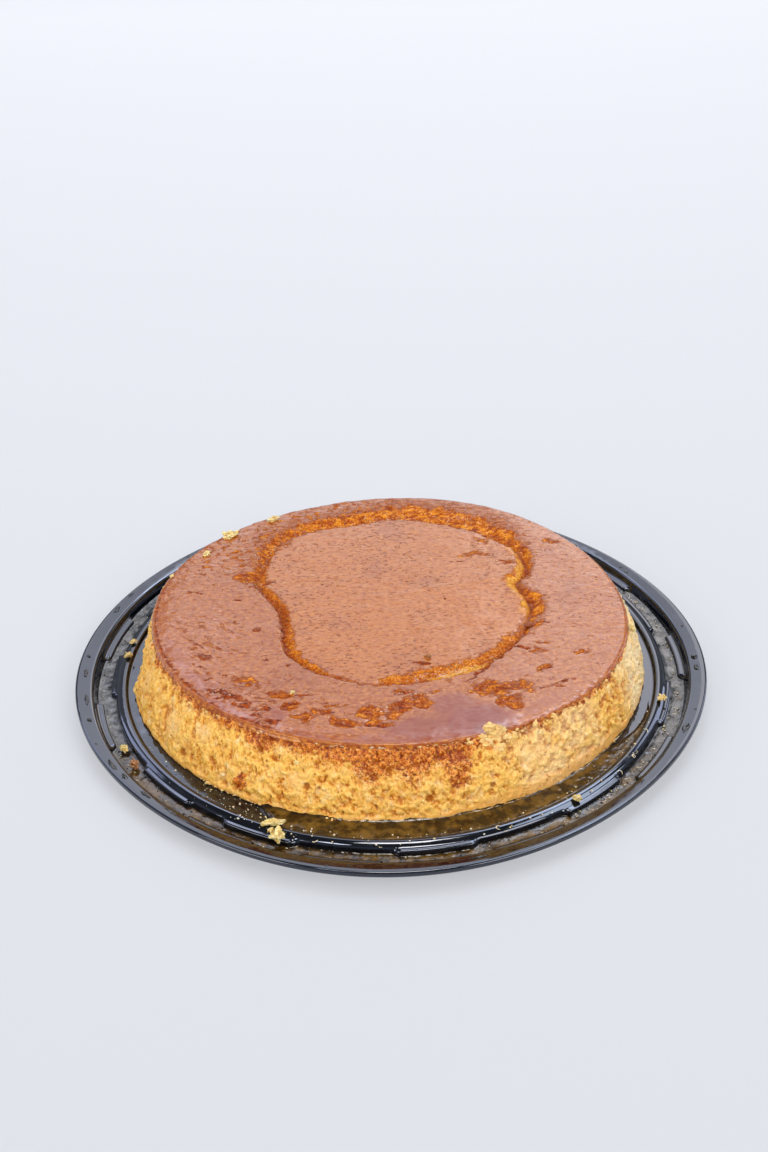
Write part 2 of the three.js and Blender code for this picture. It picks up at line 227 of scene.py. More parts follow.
print("table top", 2 * FLOOR_REACH, "m wide")


# %% The light panels
TOP_MIDDLE = Vector((0.0, 0.0, 0.03))
# name, place, width, height, radiance of the face, colour. Cards are only there to be mirrored:
# they show in gloss and light nothing by themselves.
CARDS = [
    ("card_behind", (0.10, 2.1, 1.25), 1.42, 1.75, 1.60, "#f8f9ff"),
    ("card_behind_right", (0.52, 2.0, 1.22), 0.62, 1.7, 1.12, "#fff2e8"),
    ("card_high_left", (-0.74, 1.45, 1.60), 0.7, 0.7, 3.2, "#dfe4fb"),
    ("card_high_behind", (0.05, 1.42, 1.82), 1.3, 0.36, 2.5, "#e2e6f4"),
    ("card_high_right", (0.66, 1.15, 1.92), 0.85, 0.65, 7.0, "#dfecff"),
    ("card_left", (-1.75, 1.00, 1.00), 0.55, 1.2, 3.0, "#d8e0ff"),
    ("card_right", (1.75, 1.35, 1.05), 0.55, 1.4, 3.4, "#dfe7ff"),
    ("card_right_high", (1.31, 0.02, 1.60), 1.0, 1.0, 6.5, "#e6eff8"),
    ("card_glints", (0.05, 0.15, 1.9), 0.46, 0.46, 17.0, "#fff6e8"),
]
PANELS = [
    ("panel_above", (0.1, 0.35, 2.3), 1.7, 1.5, 2.08, "#fffefb"),
    ("panel_front_right", (1.25, -1.35, 1.25), 1.0, 1.0, 6.2, "#fffaf2"),
    ("panel_front_left", (-1.55, -1.25, 1.0), 1.1, 1.1, 4.6, "#fffaf2"),
    ("panel_sparkle", (-0.55, -0.75, 1.9), 0.25, 0.25, 16.0, "#ffffff"),
]
for name, place, width, height, radiance, colour in CARDS + PANELS:
    data = bpy.data.lights.new(name, "AREA")
    data.shape = "RECTANGLE"
    data.size = width
    data.size_y = height
    data.energy = radiance * width * height * math.pi
    data.color = linear(colour)[:3]
    panel = shown(name, data)
    turn = (Vector(place) - TOP_MIDDLE).to_track_quat("Z", "Y")
    panel.matrix_world = Matrix.Translation(place) @ turn.to_matrix().to_4x4()
    panel.visible_camera = False
    panel.visible_diffuse = name.startswith("panel")
    panel.visible_glossy = name != "panel_above"
print(len(PANELS), "panels and", len(CARDS), "cards")

# %% The room's own light
ROOM_BRIGHTNESS = 0.74
room = bpy.data.worlds.new("room")
room.use_nodes = True
bpy.context.scene.world = room
tree = room.node_tree
tree.nodes.clear()
upward = result(tree, "ShaderNodeTexCoord", which="Generated")
height = result(tree, "ShaderNodeSeparateXYZ", {0: upward}, "Z")


def room_tone(*stops):
    """Light that changes with the height of the view, by two stops: a height and a colour."""
    tone = add_node(tree, "ShaderNodeValToRGB", {0: height})
    for element, (position, colour) in zip(tone.color_ramp.elements, stops):
        element.position = position
        element.color = (*colour, 1)
    backdrop = {"Color": tone.outputs[0], "Strength": ROOM_BRIGHTNESS}
    return result(tree, "ShaderNodeBackground", backdrop)


lit = room_tone((0.0, (0.96, 1.0, 1.08)), (0.75, (0.57, 0.60, 0.67)))
mirrored = room_tone((0.60, (0.46, 0.49, 0.55)), (0.82, (0.13, 0.14, 0.16)))
seen = result(tree, "ShaderNodeBackground", {"Color": "#f2f4f9", "Strength": 1.0})
looks = add_node(tree, "ShaderNodeLightPath").outputs
mixed = result(tree, "ShaderNodeMixShader", {0: looks["Is Glossy Ray"], 1: lit, 2: mirrored})
mixed = result(tree, "ShaderNodeMixShader", {0: looks["Is Camera Ray"], 1: mixed, 2: seen})
add_node(tree, "ShaderNodeOutputWorld", {0: mixed})
print("room light of strength", ROOM_BRIGHTNESS)

# %% [markdown]
# ## Noise in millimetres
# Custard is broken unevenly: lumps, pores and wrinkles with no two alike. Two classic patterns
# make nearly all of it. Smooth noise rolls up and down like a wavy skin. Cell noise gives each
# point its distance to scattered centres, which makes rounded crumbs where it falls away from a
# centre and pits where it is small. Both are worked out for all corners at once, from whole
# numbers that are scrambled the same way on every run, so nothing here is left to chance.

# %% Smooth noise and cell noise
def scrambled(cell, seed):
    """A repeatable number from 0 to 1 for each whole-number cell."""
    n = cell[:, 0] * 374761393 + cell[:, 1] * 668265263 + cell[:, 2] * 1440662683 + seed * 362437
    n &= 0xFFFFFFFF
    n = ((n ^ (n >> 13)) * 1274126177) & 0xFFFFFFFF
    n = ((n ^ (n >> 16)) * 668265263) & 0xFFFFFFFF
    return ((n ^ (n >> 15)) & 0xFFFFFF) / 0xFFFFFF


def wavy(points, size, seed, octaves=1):
    """Smooth ups and downs from about -1 to 1, the largest of them about size millimetres wide."""
    total = np.zeros(len(points))
    for octave in range(octaves):
        scaled = points / (size / 2**octave)
        cell = np.floor(scaled).astype(np.int64)
        inside = scaled - cell
        ease = inside**3 * (inside * (inside * 6 - 15) + 10)
        for corner in np.ndindex(2, 2, 2):
            at = cell + np.array(corner)
            slope = np.stack([scrambled(at, seed + 7 * octave + k) - 0.5 for k in range(3)], axis=1)
            share = np.prod(np.where(corner, ease, 1 - ease), axis=1)
            total += share * np.sum(slope * (inside - corner), axis=1) * 3.0 / 2**octave
    return total


def cell_noise(points, size, seed):
    """Distance to the nearest scattered centre, to the next, and the nearest one's own number."""
    scaled = points / size
    home = np.floor(scaled).astype(np.int64)
    first = np.full(len(points), 9.0)
    second = first.copy()
    number = np.zeros(len(points))
    for step in np.ndindex(3, 3, 3):
        cell = home + np.array(step) - 1
        centre = cell + np.stack([scrambled(cell, seed + k) for k in range(3)], axis=1)
        distance = np.linalg.norm(centre - scaled, axis=1)
        nearer = distance < first
        second = np.where(nearer, first, np.minimum(second, distance))
        number = np.where(nearer, scrambled(cell, seed + 3), number)
        first = np.where(nearer, distance, first)
    return first, second, number


def ramp(value, start, end):
    """0 before start, 1 after end, and an S-curve between."""
    share = np.clip((value - start) / (end - start), 0, 1)
    return share * share * (3 - 2 * share)


def mixed_by(share, low, high):
    return low + (high - low) * share


def dome(distance, width):
    """1 where the distance is 0, falling softly to a third at the width."""
    return np.exp(-((distance / width) ** 2))


print("smooth noise at three places", wavy(np.eye(3) * 4.2, 5, 1).round(2))

# %% Closed meshes from numbers
def counted(piece):
    """Prints how large a piece's mesh is."""
    triangles = sum(len(p.vertices) - 2 for p in piece.data.polygons)
    print(piece.name, len(piece.data.vertices), "corners,", triangles, "triangles")
    return piece


def new_piece(name, points, faces, finish):
    """A smooth mesh piece from points in millimetres."""
    mesh = bpy.data.meshes.new(name)
    mesh.from_pydata((np.asarray(points) * MM).tolist(), [], [tuple(face) for face in faces])
    mesh.materials.append(finish.material)
    mesh.shade_smooth()
    mesh.validate()
    return counted(shown(name, mesh))


def give(piece, **values):
    """Stores a number from 0 to 1 at each corner, for the piece's material to read."""
    corners = len(piece.data.vertices)
    for name, numbers in values.items():
        attribute = piece.data.attributes.new(name, "FLOAT", "POINT")
        attribute.data.foreach_set("value", np.broadcast_to(numbers, corners).astype(np.float32))


# %% Moving and joining points
def at_height(flat, height):
    """Flat points raised to a height, or to one height each."""
    return np.column_stack([flat, np.broadcast_to(height, len(flat))])


def spun(points, degrees):
    """Points turned about the upright axis."""
    angle = math.radians(degrees)
    cos, sin = math.cos(angle), math.sin(angle)
    return points @ np.array([[cos, -sin, 0], [sin, cos, 0], [0, 0, 1]]).T


def fine_ball(subdivisions, radius=1.0):
    """Points and faces of a ball whose triangles are nearly equal."""
    ball = bmesh.new()
    bmesh.ops.create_icosphere(ball, subdivisions=subdivisions, radius=radius)
    points = np.array([corner.co for corner in ball.verts])
    faces = [[corner.index for corner in face.verts] for face in ball.faces]
    ball.free()
    return points, faces


def stretched_to(points, size):
    """Points moved to the middle and stretched to fill a box of this size."""
    low, high = points.min(axis=0), points.max(axis=0)
    return (points - (low + high) / 2) / (high - low) * np.array(size)


def joined(parts):
    """Several closed shapes, each with its points, faces and a value a point, as one."""
    points, faces, values = zip(*parts)
    starts = np.cumsum([0] + [len(p) for p in points]).tolist()
    moved = [[index + start for index in face] for start, some in zip(starts, faces) for face in some]
    return np.concatenate(points), moved, np.concatenate(values)


# %% Faces between rings of corners
def ring_faces(counts):
    """Faces that join rings of corners, given how many corners each has. The first and last
    rings may have one corner. Rings are numbered outwards from the start, anticlockwise."""
    faces = []
    starts = np.concatenate([[0], np.cumsum(counts)])
    for ring in range(len(counts) - 1):
        a, b = counts[ring], counts[ring + 1]
        low, high = starts[ring], starts[ring + 1]
        if a == b:
            faces += [(low + i, high + i, high + (i + 1) % a, low + (i + 1) % a) for i in range(a)]
            continue
        i = j = 0
        steps_a = a if a > 1 else 0
        steps_b = b if b > 1 else 0
        while i < steps_a or j < steps_b:
            if j >= steps_b or (i < steps_a and (i + 0.5) / a <= (j + 0.5) / b):
                faces.append((low + i % a, high + j % b, low + (i + 1) % a))
                i += 1
            else:
                faces.append((low + i % a, high + j % b, high + (j + 1) % b))
                j += 1
    return faces


print("noise and mesh helpers are ready")

# %% [markdown]
# ## The tray's finish
# The tray is black polystyrene, pressed from a hot sheet in a mould. Its face is nearly a mirror,
# so the eye reads it by what it reflects: pale light on the level parts, black in the steep ones.
# The sheet cools a little wavy, and syrup and fingers have left a faint film, so the gloss wavers.

# %% Gloss black polystyrene
tray_plastic = Finish("gloss black polystyrene")
greasy = tray_plastic.noise(7, 5.0)
tray_plastic.wear(
    Base_Color=greasy.blend("#06070a", "#0f1015"), Roughness=greasy.remap(0.42, 0.68, 0.05, 0.15),
    Normal=tray_plastic.noise(16).bump(0.5, 0.35 * MM),
    IOR=1.59, Specular_IOR_Level=0.75, Specular_Tint="#e2eaff",
)
print("finish:", tray_plastic.material.name)

# %% [markdown]
# ## The tray's shell
# One thin sheet follows one rule all the way round: a raised platform, a low ridge, a channel
# that it stands on, and a rim with a turned-down lip. So the section is drawn once and swept by a
# Geometry Nodes tree. The stacking lugs in the channel are the same sheet pushed sideways, so the
# section is drawn twice more, with a lug on its inner and on its outer wall, and the sweep moves
# from the plain section to the lugged one and back wherever a lug stands.

# %% The sheet's sizes
SHEET = 0.8
PLATFORM_HEIGHT = 5.8
RIDGE_FOOT_RADIUS = 128.9
RIDGE_INNER = (129.4, 8.15)
RIDGE_CROWN = (131.2, 8.35)
RIDGE_OUTER = (134.2, 7.05)
CHANNEL_INNER = (135.8, 0.8)
CHANNEL_OUTER = (141.6, 0.8)
RIM_INNER = (145.2, 9.85)
RIM_CURL = (150.2, 10.92)
RIM_OUTER = (151.9, 11.14)
LIP_SHOULDER = (152.4, 10.6)
LIP_END = (152.4, 8.9)
INNER_LUG = [(134.75, 7.0), (136.6, 7.0), (136.9, 0.8)]
OUTER_LUG = [(140.2, 0.8), (140.5, 6.4), (143.6, 6.4)]
LUG_STARTS = [10, 44, 77, 111, 144, 174, 214, 237, 270, 303, 337]
LUG_DEGREES = 14.5
OUTER_LUG_TURN = 16.5
RIM_WARP = 1.3
TRAY_STEPS = 720
PLATFORM_EDGE = 126.0
RIDGE_BROW = (132.5, 8.1)
CHANNEL_MIDDLE = (138.4, 0.8)
RIM_LEVEL = (147.5, 10.38)
LIP_ROUND = 0.15
RIM_LOBES = 4.0
SEAM_MM = 0.0005
print("lip", 2 * LIP_SHOULDER[0], "mm across before it warps")


# %% Drawing a section with soft bends
def softened(corners, reach):
    """The line with each inner corner turned into a small bend that starts reach before it."""
    line = [np.array(corners[0], float)]
    for before, corner, after in zip(corners, corners[1:], corners[2:]):
        before, corner, after = (np.array(p, float) for p in (before, corner, after))
        lengths = [np.linalg.norm(before - corner), np.linalg.norm(after - corner)]
        start = corner + (before - corner) * min(reach / lengths[0], 0.45)
        end = corner + (after - corner) * min(reach / lengths[1], 0.45)
        for t in (0, 0.25, 0.5, 0.75, 1):
            line.append((1 - t) ** 2 * start + 2 * t * (1 - t) * corner + t * t * end)
    return np.array(line + [np.array(corners[-1], float)])


def spaced(line, count):
    """The same line given by count points at even distances."""
    run = np.concatenate([[0], np.cumsum(np.linalg.norm(np.diff(line, axis=0), axis=1))])
    at = np.linspace(0, run[-1], count)
    return np.stack([np.interp(at, run, line[:, k]) for k in (0, 1)], axis=1)


def section(inner_wall, outer_wall):
    """The sheet's section from the middle of its underside out, round the lip and back on top."""
    middle, border = (0.0, PLATFORM_HEIGHT), (PLATFORM_EDGE, PLATFORM_HEIGHT)
    stretches = (
        (0.5, 3, [middle, border]),
        (0.5, 12, [border, (RIDGE_FOOT_RADIUS, PLATFORM_HEIGHT), RIDGE_INNER, RIDGE_CROWN]),
        (0.6, 20, [RIDGE_CROWN, RIDGE_BROW, RIDGE_OUTER, *inner_wall, CHANNEL_MIDDLE]),
        (0.7, 20, [CHANNEL_MIDDLE, *outer_wall, RIM_INNER, RIM_LEVEL]),
        (0.4, 15, [RIM_LEVEL, RIM_CURL, RIM_OUTER, LIP_SHOULDER, LIP_END]),
    )
    lines = [spaced(softened(corners, reach), count)[:-1] for reach, count, corners in stretches]
    upper = np.concatenate([*lines, [LIP_END]])
    along = np.gradient(upper, axis=0)
    along /= np.linalg.norm(along, axis=1, keepdims=True)
    lower = upper + SHEET * np.stack([along[:, 1], -along[:, 0]], axis=1)
    lower[0, 0] = 0.0
    lower[-1] = upper[-1] - (SHEET, 0.0)
    edge = (upper[-1] + lower[-1]) / 2 - (0.0, LIP_ROUND)
    return np.concatenate([lower, [edge], upper[::-1]])


plain = section([CHANNEL_INNER], [CHANNEL_OUTER])
lug_inside = section(INNER_LUG, [CHANNEL_OUTER]) - plain
lug_outside = section([CHANNEL_INNER], OUTER_LUG) - plain
print("section of", len(plain), "points, lowest", plain[:, 1].min().round(2), "mm")


# %% Where the lugs stand
def lug_share(turn, first):
    """1 on a lug and 0 beside it, for directions in degrees."""
    share = np.zeros(len(turn))
    for start in LUG_STARTS:
        from_start = (turn - start - first + 180) % 360 - 180
        from_end = from_start - LUG_DEGREES
        share = np.maximum(share, ramp(from_start, -0.5, 0.5) * (1 - ramp(from_end, -0.5, 0.5)))
    return share


def line_object(name, count, **values):
    """A line of joined points that carries numbers for a Geometry Nodes tree to read."""
    mesh = bpy.data.meshes.new(name)
    links = [(k, k + 1) for k in range(count - 1)]
    mesh.from_pydata([(k * MM, 0, 0) for k in range(count)], links, [])
    line = shown(name, mesh)
    give(line, **values)
    return line


round_the_tray = np.linspace(0, 360, TRAY_STEPS + 1)
rail = line_object(
    "tray_rail", TRAY_STEPS + 1, turn=np.radians(round_the_tray),
    inner_lug=lug_share(round_the_tray, 0), outer_lug=lug_share(round_the_tray, OUTER_LUG_TURN),
)
profile = line_object(
    "tray_section", len(plain), out_mm=plain[:, 0], up_mm=plain[:, 1],
    inner_out=lug_inside[:, 0], inner_up=lug_inside[:, 1],
    outer_out=lug_outside[:, 0], outer_up=lug_outside[:, 1],
)


print(len(LUG_STARTS), "lugs on each wall of the channel")


# %% Starting, ending and running a Geometry Nodes tree
def new_tree(name, output, inputs):
    """A tree with these named inputs, and what they give inside it."""
    tree = bpy.data.node_groups.new(name, "GeometryNodeTree")
    for label, kind in inputs.items():
        tree.interface.new_socket(label, in_out="INPUT", socket_type="NodeSocket" + kind)
    tree.interface.new_socket(output, in_out="OUTPUT", socket_type="NodeSocketGeometry")
    return tree, add_node(tree, "NodeGroupInput").outputs


def end_tree(tree, shape, finish):
    """Shades the shape smooth, makes its copies real and gives it its finish."""
    shape = result(tree, "GeometryNodeSetShadeSmooth", {0: shape})
    shape = result(tree, "GeometryNodeRealizeInstances", {0: shape})
    shape = result(tree, "GeometryNodeSetMaterial", {0: shape, "Material": finish})
    add_node(tree, "NodeGroupOutput", {0: shape})


def run_tree(name, tree, values):
    """Runs a tree with these inputs and gives its result as a plain mesh piece."""
    holder = shown(name + "_holder", bpy.data.meshes.new(name + "_holder"))
    modifier = holder.modifiers.new("nodes", "NODES")
    modifier.node_group = tree
    for item in tree.interface.items_tree:
        if item.in_out == "INPUT" and item.name in values:
            modifier[item.identifier] = values[item.name]
    depsgraph = bpy.context.evaluated_depsgraph_get()
    mesh = bpy.data.meshes.new_from_object(holder.evaluated_get(depsgraph))
    mesh.name = name
    bpy.data.objects.remove(holder)
    return counted(shown(name, mesh))


def faces_outward(piece):
    """Turns a closed mesh's faces outwards if its volume comes out negative."""
    work = bmesh.new()
    work.from_mesh(piece.data)
    if work.calc_volume(signed=True) < 0:
        bmesh.ops.reverse_faces(work, faces=work.faces)
    volume = work.calc_volume(signed=True) / MM**3 / 1000
    print(piece.name, round(volume, 1), "cm3, open edges", sum(not e.is_manifold for e in work.edges))
    work.to_mesh(piece.data)
    work.free()


# %% The sweep, as Geometry Nodes
sweep, given = new_tree("sweep_pressed_tray", "Tray", {
    "Section": "Object", "Rail": "Object", "Rim warp": "Float", "Warp starts": "Float",
    "Warp ends": "Float", "Finish": "Material",
})


def carried(name):
    """A number that a line carries, as a field."""
    return result(sweep, "GeometryNodeInputNamedAttribute", {"Name": name}, "Attribute")


curves = {}
for label in ("Rail", "Section"):
    fetched = result(sweep, "GeometryNodeObjectInfo", {"Object": given[label]}, "Geometry")
    curves[label] = result(sweep, "GeometryNodeMeshToCurve", {0: fetched})
swept = {"Curve": curves["Rail"], "Profile Curve": curves["Section"]}
strip = result(sweep, "GeometryNodeCurveToMesh", swept)
inner_lug, outer_lug, turn = (carried(name) for name in ("inner_lug", "outer_lug", "turn"))
out_by = carried("out_mm") + inner_lug * carried("inner_out") + outer_lug * carried("outer_out")
up_by = carried("up_mm") + inner_lug * carried("inner_up") + outer_lug * carried("outer_up")
warp = out_by.remap(given["Warp starts"], given["Warp ends"]) * given["Rim warp"]
out_by = (out_by + warp * (turn * RIM_LOBES).math("COSINE")) * MM
placed = result(sweep, "ShaderNodeCombineXYZ", {
    0: out_by * turn.math("COSINE"), 1: out_by * turn.math("SINE"), 2: up_by * MM,
})
shaped = result(sweep, "GeometryNodeSetPosition", {"Geometry": strip, "Position": placed})
closed = result(sweep, "GeometryNodeMergeByDistance", {"Geometry": shaped, "Distance": SEAM_MM * MM})
end_tree(sweep, closed, given["Finish"])
tray = run_tree("tray_shell", sweep, {
    "Section": profile, "Rail": rail, "Rim warp": RIM_WARP, "Warp starts": CHANNEL_OUTER[0],
    "Warp ends": LIP_END[0], "Finish": tray_plastic.material,
})
faces_outward(tray)
for line in (rail, profile):
    bpy.data.objects.remove(line)
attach(tray, "root")
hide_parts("tray")

# %% [markdown]
# ## The custard's outline
# The pan gave the custard a nearly round foot, but it sank and leaned as it came out, so its top
# is a smaller, slightly oval outline that is set back. The side runs between the two and bellies
# out low down. The same few numbers as in the solids are used here, so that both agree.

# %% Foot, top and side
FLAN_BOTTOM = 6.1
FLAN_TOP = 35.8
FOOT_CENTRE = np.array([-1.1, 5.3])
FOOT_RADII = np.array([125.6, 122.4])
FOOT_LIMIT = 128.2
TOP_CENTRE = np.array([-1.1, 8.0])
TOP_RADIUS = 112.3
TOP_WAVES = [(1, 1.3, 352), (2, 3.0, 353), (3, 0.9, 75), (4, 0.9, 335)]
SIDE_BELLY = 1.45
EDGE_ROUND = 1.2


def facing(turn):
    """Unit vectors for directions in radians."""
    return np.stack([np.cos(turn), np.sin(turn)], axis=1)


def foot_outline(turn):
    foot = facing(turn) * FOOT_RADII + FOOT_CENTRE
    reach = np.linalg.norm(foot, axis=1, keepdims=True)
    return foot * np.minimum(1, FOOT_LIMIT / reach)


def top_reach(turn):
    """Distance from the top's centre to its edge."""
    waves = [height * np.cos(lobes * (turn - math.radians(peak))) for lobes, height, peak in TOP_WAVES]
    return TOP_RADIUS + sum(waves)


def side_at(turn, share):
    """Points of the side, from share 0 at the foot to 1 at the top edge."""
    lean = (np.maximum(share, 0) ** SIDE_BELLY)[:, None]
    top = TOP_CENTRE + facing(turn) * top_reach(turn)[:, None]
    flat = foot_outline(turn) * (1 - lean) + top * lean
    height = mixed_by(share, FLAN_BOTTOM, FLAN_TOP - EDGE_ROUND)
    return np.column_stack([flat, height])


around = np.linspace(0, 2 * math.pi, 361)
print("foot reaches", np.abs(foot_outline(around)).max(0).round(1), "mm from the middle")

# %% [markdown]
# ## The crease round the top
# While it baked, the middle of the custard settled and left a sunken crease: a pad inside, an
# outer band outside. It is a closed curve that was read off as directions and distances. Each
# corner of the top then needs one number, how far it lies outside or inside that curve, and the
# height follows from it. The crease isn't the same all round: behind, the band comes down to the
# pad in one long granular slope. In front, the pad breaks off into a groove. In between it is
# hardly a scratch. So a second table gives its widths and depths by direction.

# %% The crease as a distance
CREASE_CENTRE = np.array([1.0, 18.0])
CREASE = np.array([
    (7, 63.7), (14, 70.5), (24, 75.5), (33, 78.4), (45, 77.6), (56, 78.0), (67, 77.3), (81, 78.1),
    (93, 78.0), (104, 75.5), (118, 78.1), (129, 79.6), (139, 78.6), (147, 74.9), (164, 69.6),
    (174, 64.5), (191, 55.8), (209, 59.6), (223, 67.5), (236, 71.7), (248, 73.2), (258, 75.4),
    (266, 75.0), (276, 74.2), (289, 73.8), (298, 75.2), (307, 74.9), (323, 72.6), (336, 71.3),
    (351, 69.4),
])
# direction, width outside, width inside, depth of its line, depth of the pad's border, then how
# much bare grain shows outside and inside, and how dark the painted shade along the line is; it deepens the
# line as well
CREASE_FORM = np.array([
    (5, 3.0, 4.5, 2.2, 0.3, 0.5, 0.9, 0.7), (14, 2.6, 8.0, 2.4, -0.3, 0.5, 1.0, 0.9),
    (24, 4.6, 6.0, 2.6, 0.4, 0.9, 0.7, 0.6), (34, 6.0, 2.5, 2.4, 1.0, 1.0, 0.4, 0.4),
    (45, 12.5, 1.6, 2.3, 1.5, 1.0, 0.3, 0.3), (67, 16.0, 1.4, 2.3, 1.7, 1.0, 0.2, 0.2),
    (82, 14.5, 1.4, 2.2, 1.7, 1.0, 0.2, 0.2), (94, 11.0, 1.4, 2.2, 1.7, 1.0, 0.2, 0.3),
    (118, 9.4, 1.6, 2.2, 1.6, 1.0, 0.2, 0.2), (130, 6.6, 2.0, 2.1, 1.4, 0.9, 0.3, 0.2),
    (146, 4.6, 3.0, 2.1, 1.2, 0.9, 0.6, 0.3), (163, 3.4, 5.0, 2.2, 0.8, 0.8, 0.9, 0.6),
    (176, 1.8, 6.0, 2.2, 0.6, 0.3, 1.0, 0.8), (207, 1.8, 5.8, 2.3, 0.6, 0.2, 1.0, 1.0),
    (223, 1.8, 6.6, 2.2, 0.5, 0.2, 1.0, 0.8), (238, 1.6, 5.2, 1.6, 0.5, 0.2, 1.0, 0.5),
    (248, 1.2, 2.2, 0.9, 0.3, 0.3, 0.5, 0.5), (262, 1.0, 1.6, 0.7, 0.3, 0.2, 0.4, 0.5),
    (268, 1.6, 7.0, 1.5, 0.2, 0.3, 1.0, 0.4), (280, 1.8, 10.0, 2.3, 0.0, 0.2, 1.0, 0.5),
    (300, 1.6, 10.5, 2.4, 0.0, 0.1, 1.0, 0.8), (310, 1.5, 9.5, 2.2, 0.2, 0.1, 1.0, 1.0),
    (323, 1.5, 7.5, 2.0, 0.4, 0.2, 1.0, 1.0), (332, 2.6, 4.5, 1.8, 0.5, 0.7, 0.7, 0.7),
    (339, 3.0, 3.4, 1.8, 0.5, 0.8, 0.5, 0.5), (347, 6.5, 3.4, 2.3, 0.4, 1.0, 0.8, 0.6),
    (357, 7.5, 3.8, 2.4, 0.3, 1.0, 0.9, 0.8),
])
PAD_DEPTH = 0.55
TOP_WAVINESS = 0.35
print(len(CREASE), "corners and", len(CREASE_FORM), "forms round the crease")


# %% Distance from the crease
def closed_curve(corners, steps):
    """A smooth closed curve through the corners."""
    before, after, beyond = (np.roll(corners, shift, axis=0) for shift in (1, -1, -2))
    t = np.linspace(0, 1, steps, endpoint=False)[None, :, None]
    a, b, c, d = (corner[:, None, :] for corner in (before, corners, after, beyond))
    curve = 2 * b + (c - a) * t + (2 * a - 5 * b + 4 * c - d) * t**2 + (3 * b - a - 3 * c + d) * t**3
    return (0.5 * curve).reshape(-1, 2)


crease_line = closed_curve(facing(np.radians(CREASE[:, 0])) * CREASE[:, 1:], 40)
crease_turn = np.degrees(np.arctan2(crease_line[:, 1], crease_line[:, 0])) % 360
crease_reach = np.linalg.norm(crease_line, axis=1)
in_order = np.argsort(crease_turn)
tree_of_crease = KDTree(len(crease_line))
for index, (x, y) in enumerate(crease_line):
    tree_of_crease.insert((x, y, 0), index)
tree_of_crease.balance()


def crease_place(flat):
    """How far each point lies outside the crease (inside is negative), and in what direction."""
    from_centre = flat - CREASE_CENTRE
    turn = np.degrees(np.arctan2(from_centre[:, 1], from_centre[:, 0])) % 360
    reach = np.interp(turn, crease_turn[in_order], crease_reach[in_order], period=360)
    away = np.array([tree_of_crease.find((x, y, 0))[2] for x, y in from_centre])
    return np.where(np.linalg.norm(from_centre, axis=1) > reach, away, -away), turn


def crease_form(turn, column):
    """One column of the crease's second table, for directions in degrees."""
    return np.interp(turn, CREASE_FORM[:, 0], CREASE_FORM[:, column], period=360)


def toward(turn, middle, inner, outer):
    """1 within inner degrees of a direction, falling to 0 at outer degrees."""
    return 1 - ramp(np.abs((turn - middle + 180) % 360 - 180), inner, outer)


print("crease is", round(float(crease_reach.mean()), 1), "mm from its centre on average")

# %% [markdown]
# ## Marks on the top
# The caramel did not cover the top evenly. Where the skin stuck to the pan it came away and shows
# wet orange grain; where syrup gathered it lies as a dark glassy film, or only as a wet shine;
# short red-brown scars are burnt bubbles, a few raised lips are painted golden as a highlight, and
# a few places stay glossy though they are bare. Each mark is a soft, ragged patch with a place, a
# size, a slant and a strength. Marks that follow the crease or the rim, such as the painted
# highlight on the pad's lip at the right and the painted shade along the crease, come from the
# distance to it instead.

# %% Patches as places and sizes
# middle x, y, half length, half width in millimetres, slant in degrees, and how strong it is
BARE_PATCHES = [
    (-69, 38, 10, 6.5, -8, 0.9), (-64, 63, 4.5, 8, 20, 0.8), (-55, 70, 7, 3, 40, 0.5),
    (-68, -52, 8, 2.4, -41, 0.8), (-62, -52, 6, 2.0, -35, 0.8), (-50, -63, 9, 3.0, -17, 1.0),
    (-45, -71, 5, 2.6, -4, 1.0), (-38, -80, 7.4, 3.0, -12, 1.0), (-31, -77, 6, 2.3, -12, 0.9),
    (-26, -72, 8.5, 2.2, -11, 0.7), (-21, -85, 8.2, 3.6, -21, 1.0), (-10, -77, 8.4, 5.8, 8, 1.0),
    (3, -76, 9, 5.2, 59, 1.0), (-7, -86, 7.6, 4.0, -13, 0.9), (5, -63, 6, 2.6, -3, 0.9),
    (13, -71, 7.4, 4.8, -28, 1.0), (19, -64, 3.6, 2.2, -3, 0.8), (44, -62, 9.5, 6.6, -1, 1.0),
    (53, -73, 7.8, 6.0, -53, 1.0), (57, -61, 10, 4.2, -2, 0.8), (70, -11, 5, 3.0, -1, 0.8),
    (72, -26, 2.2, 1.8, 8, 0.8), (70, -47, 4.8, 2.4, 29, 0.9), (69, 9, 8, 4.6, 83, 0.9),
    (76, -62, 2.6, 1.8, 1, 0.7), (68, -33, 7, 1.8, -12, 0.7), (45, 56, 8, 3.2, 2, 0.7),
    (61, 47, 5, 2.2, 0, 0.7), (90, -35.6, 5.6, 1.8, 8, 0.7), (86, 66, 5, 3.8, -30, 0.7),
    (50, 71, 7, 3, -10, 0.6), (-88, -20, 6, 2.2, -35, 0.5),
]
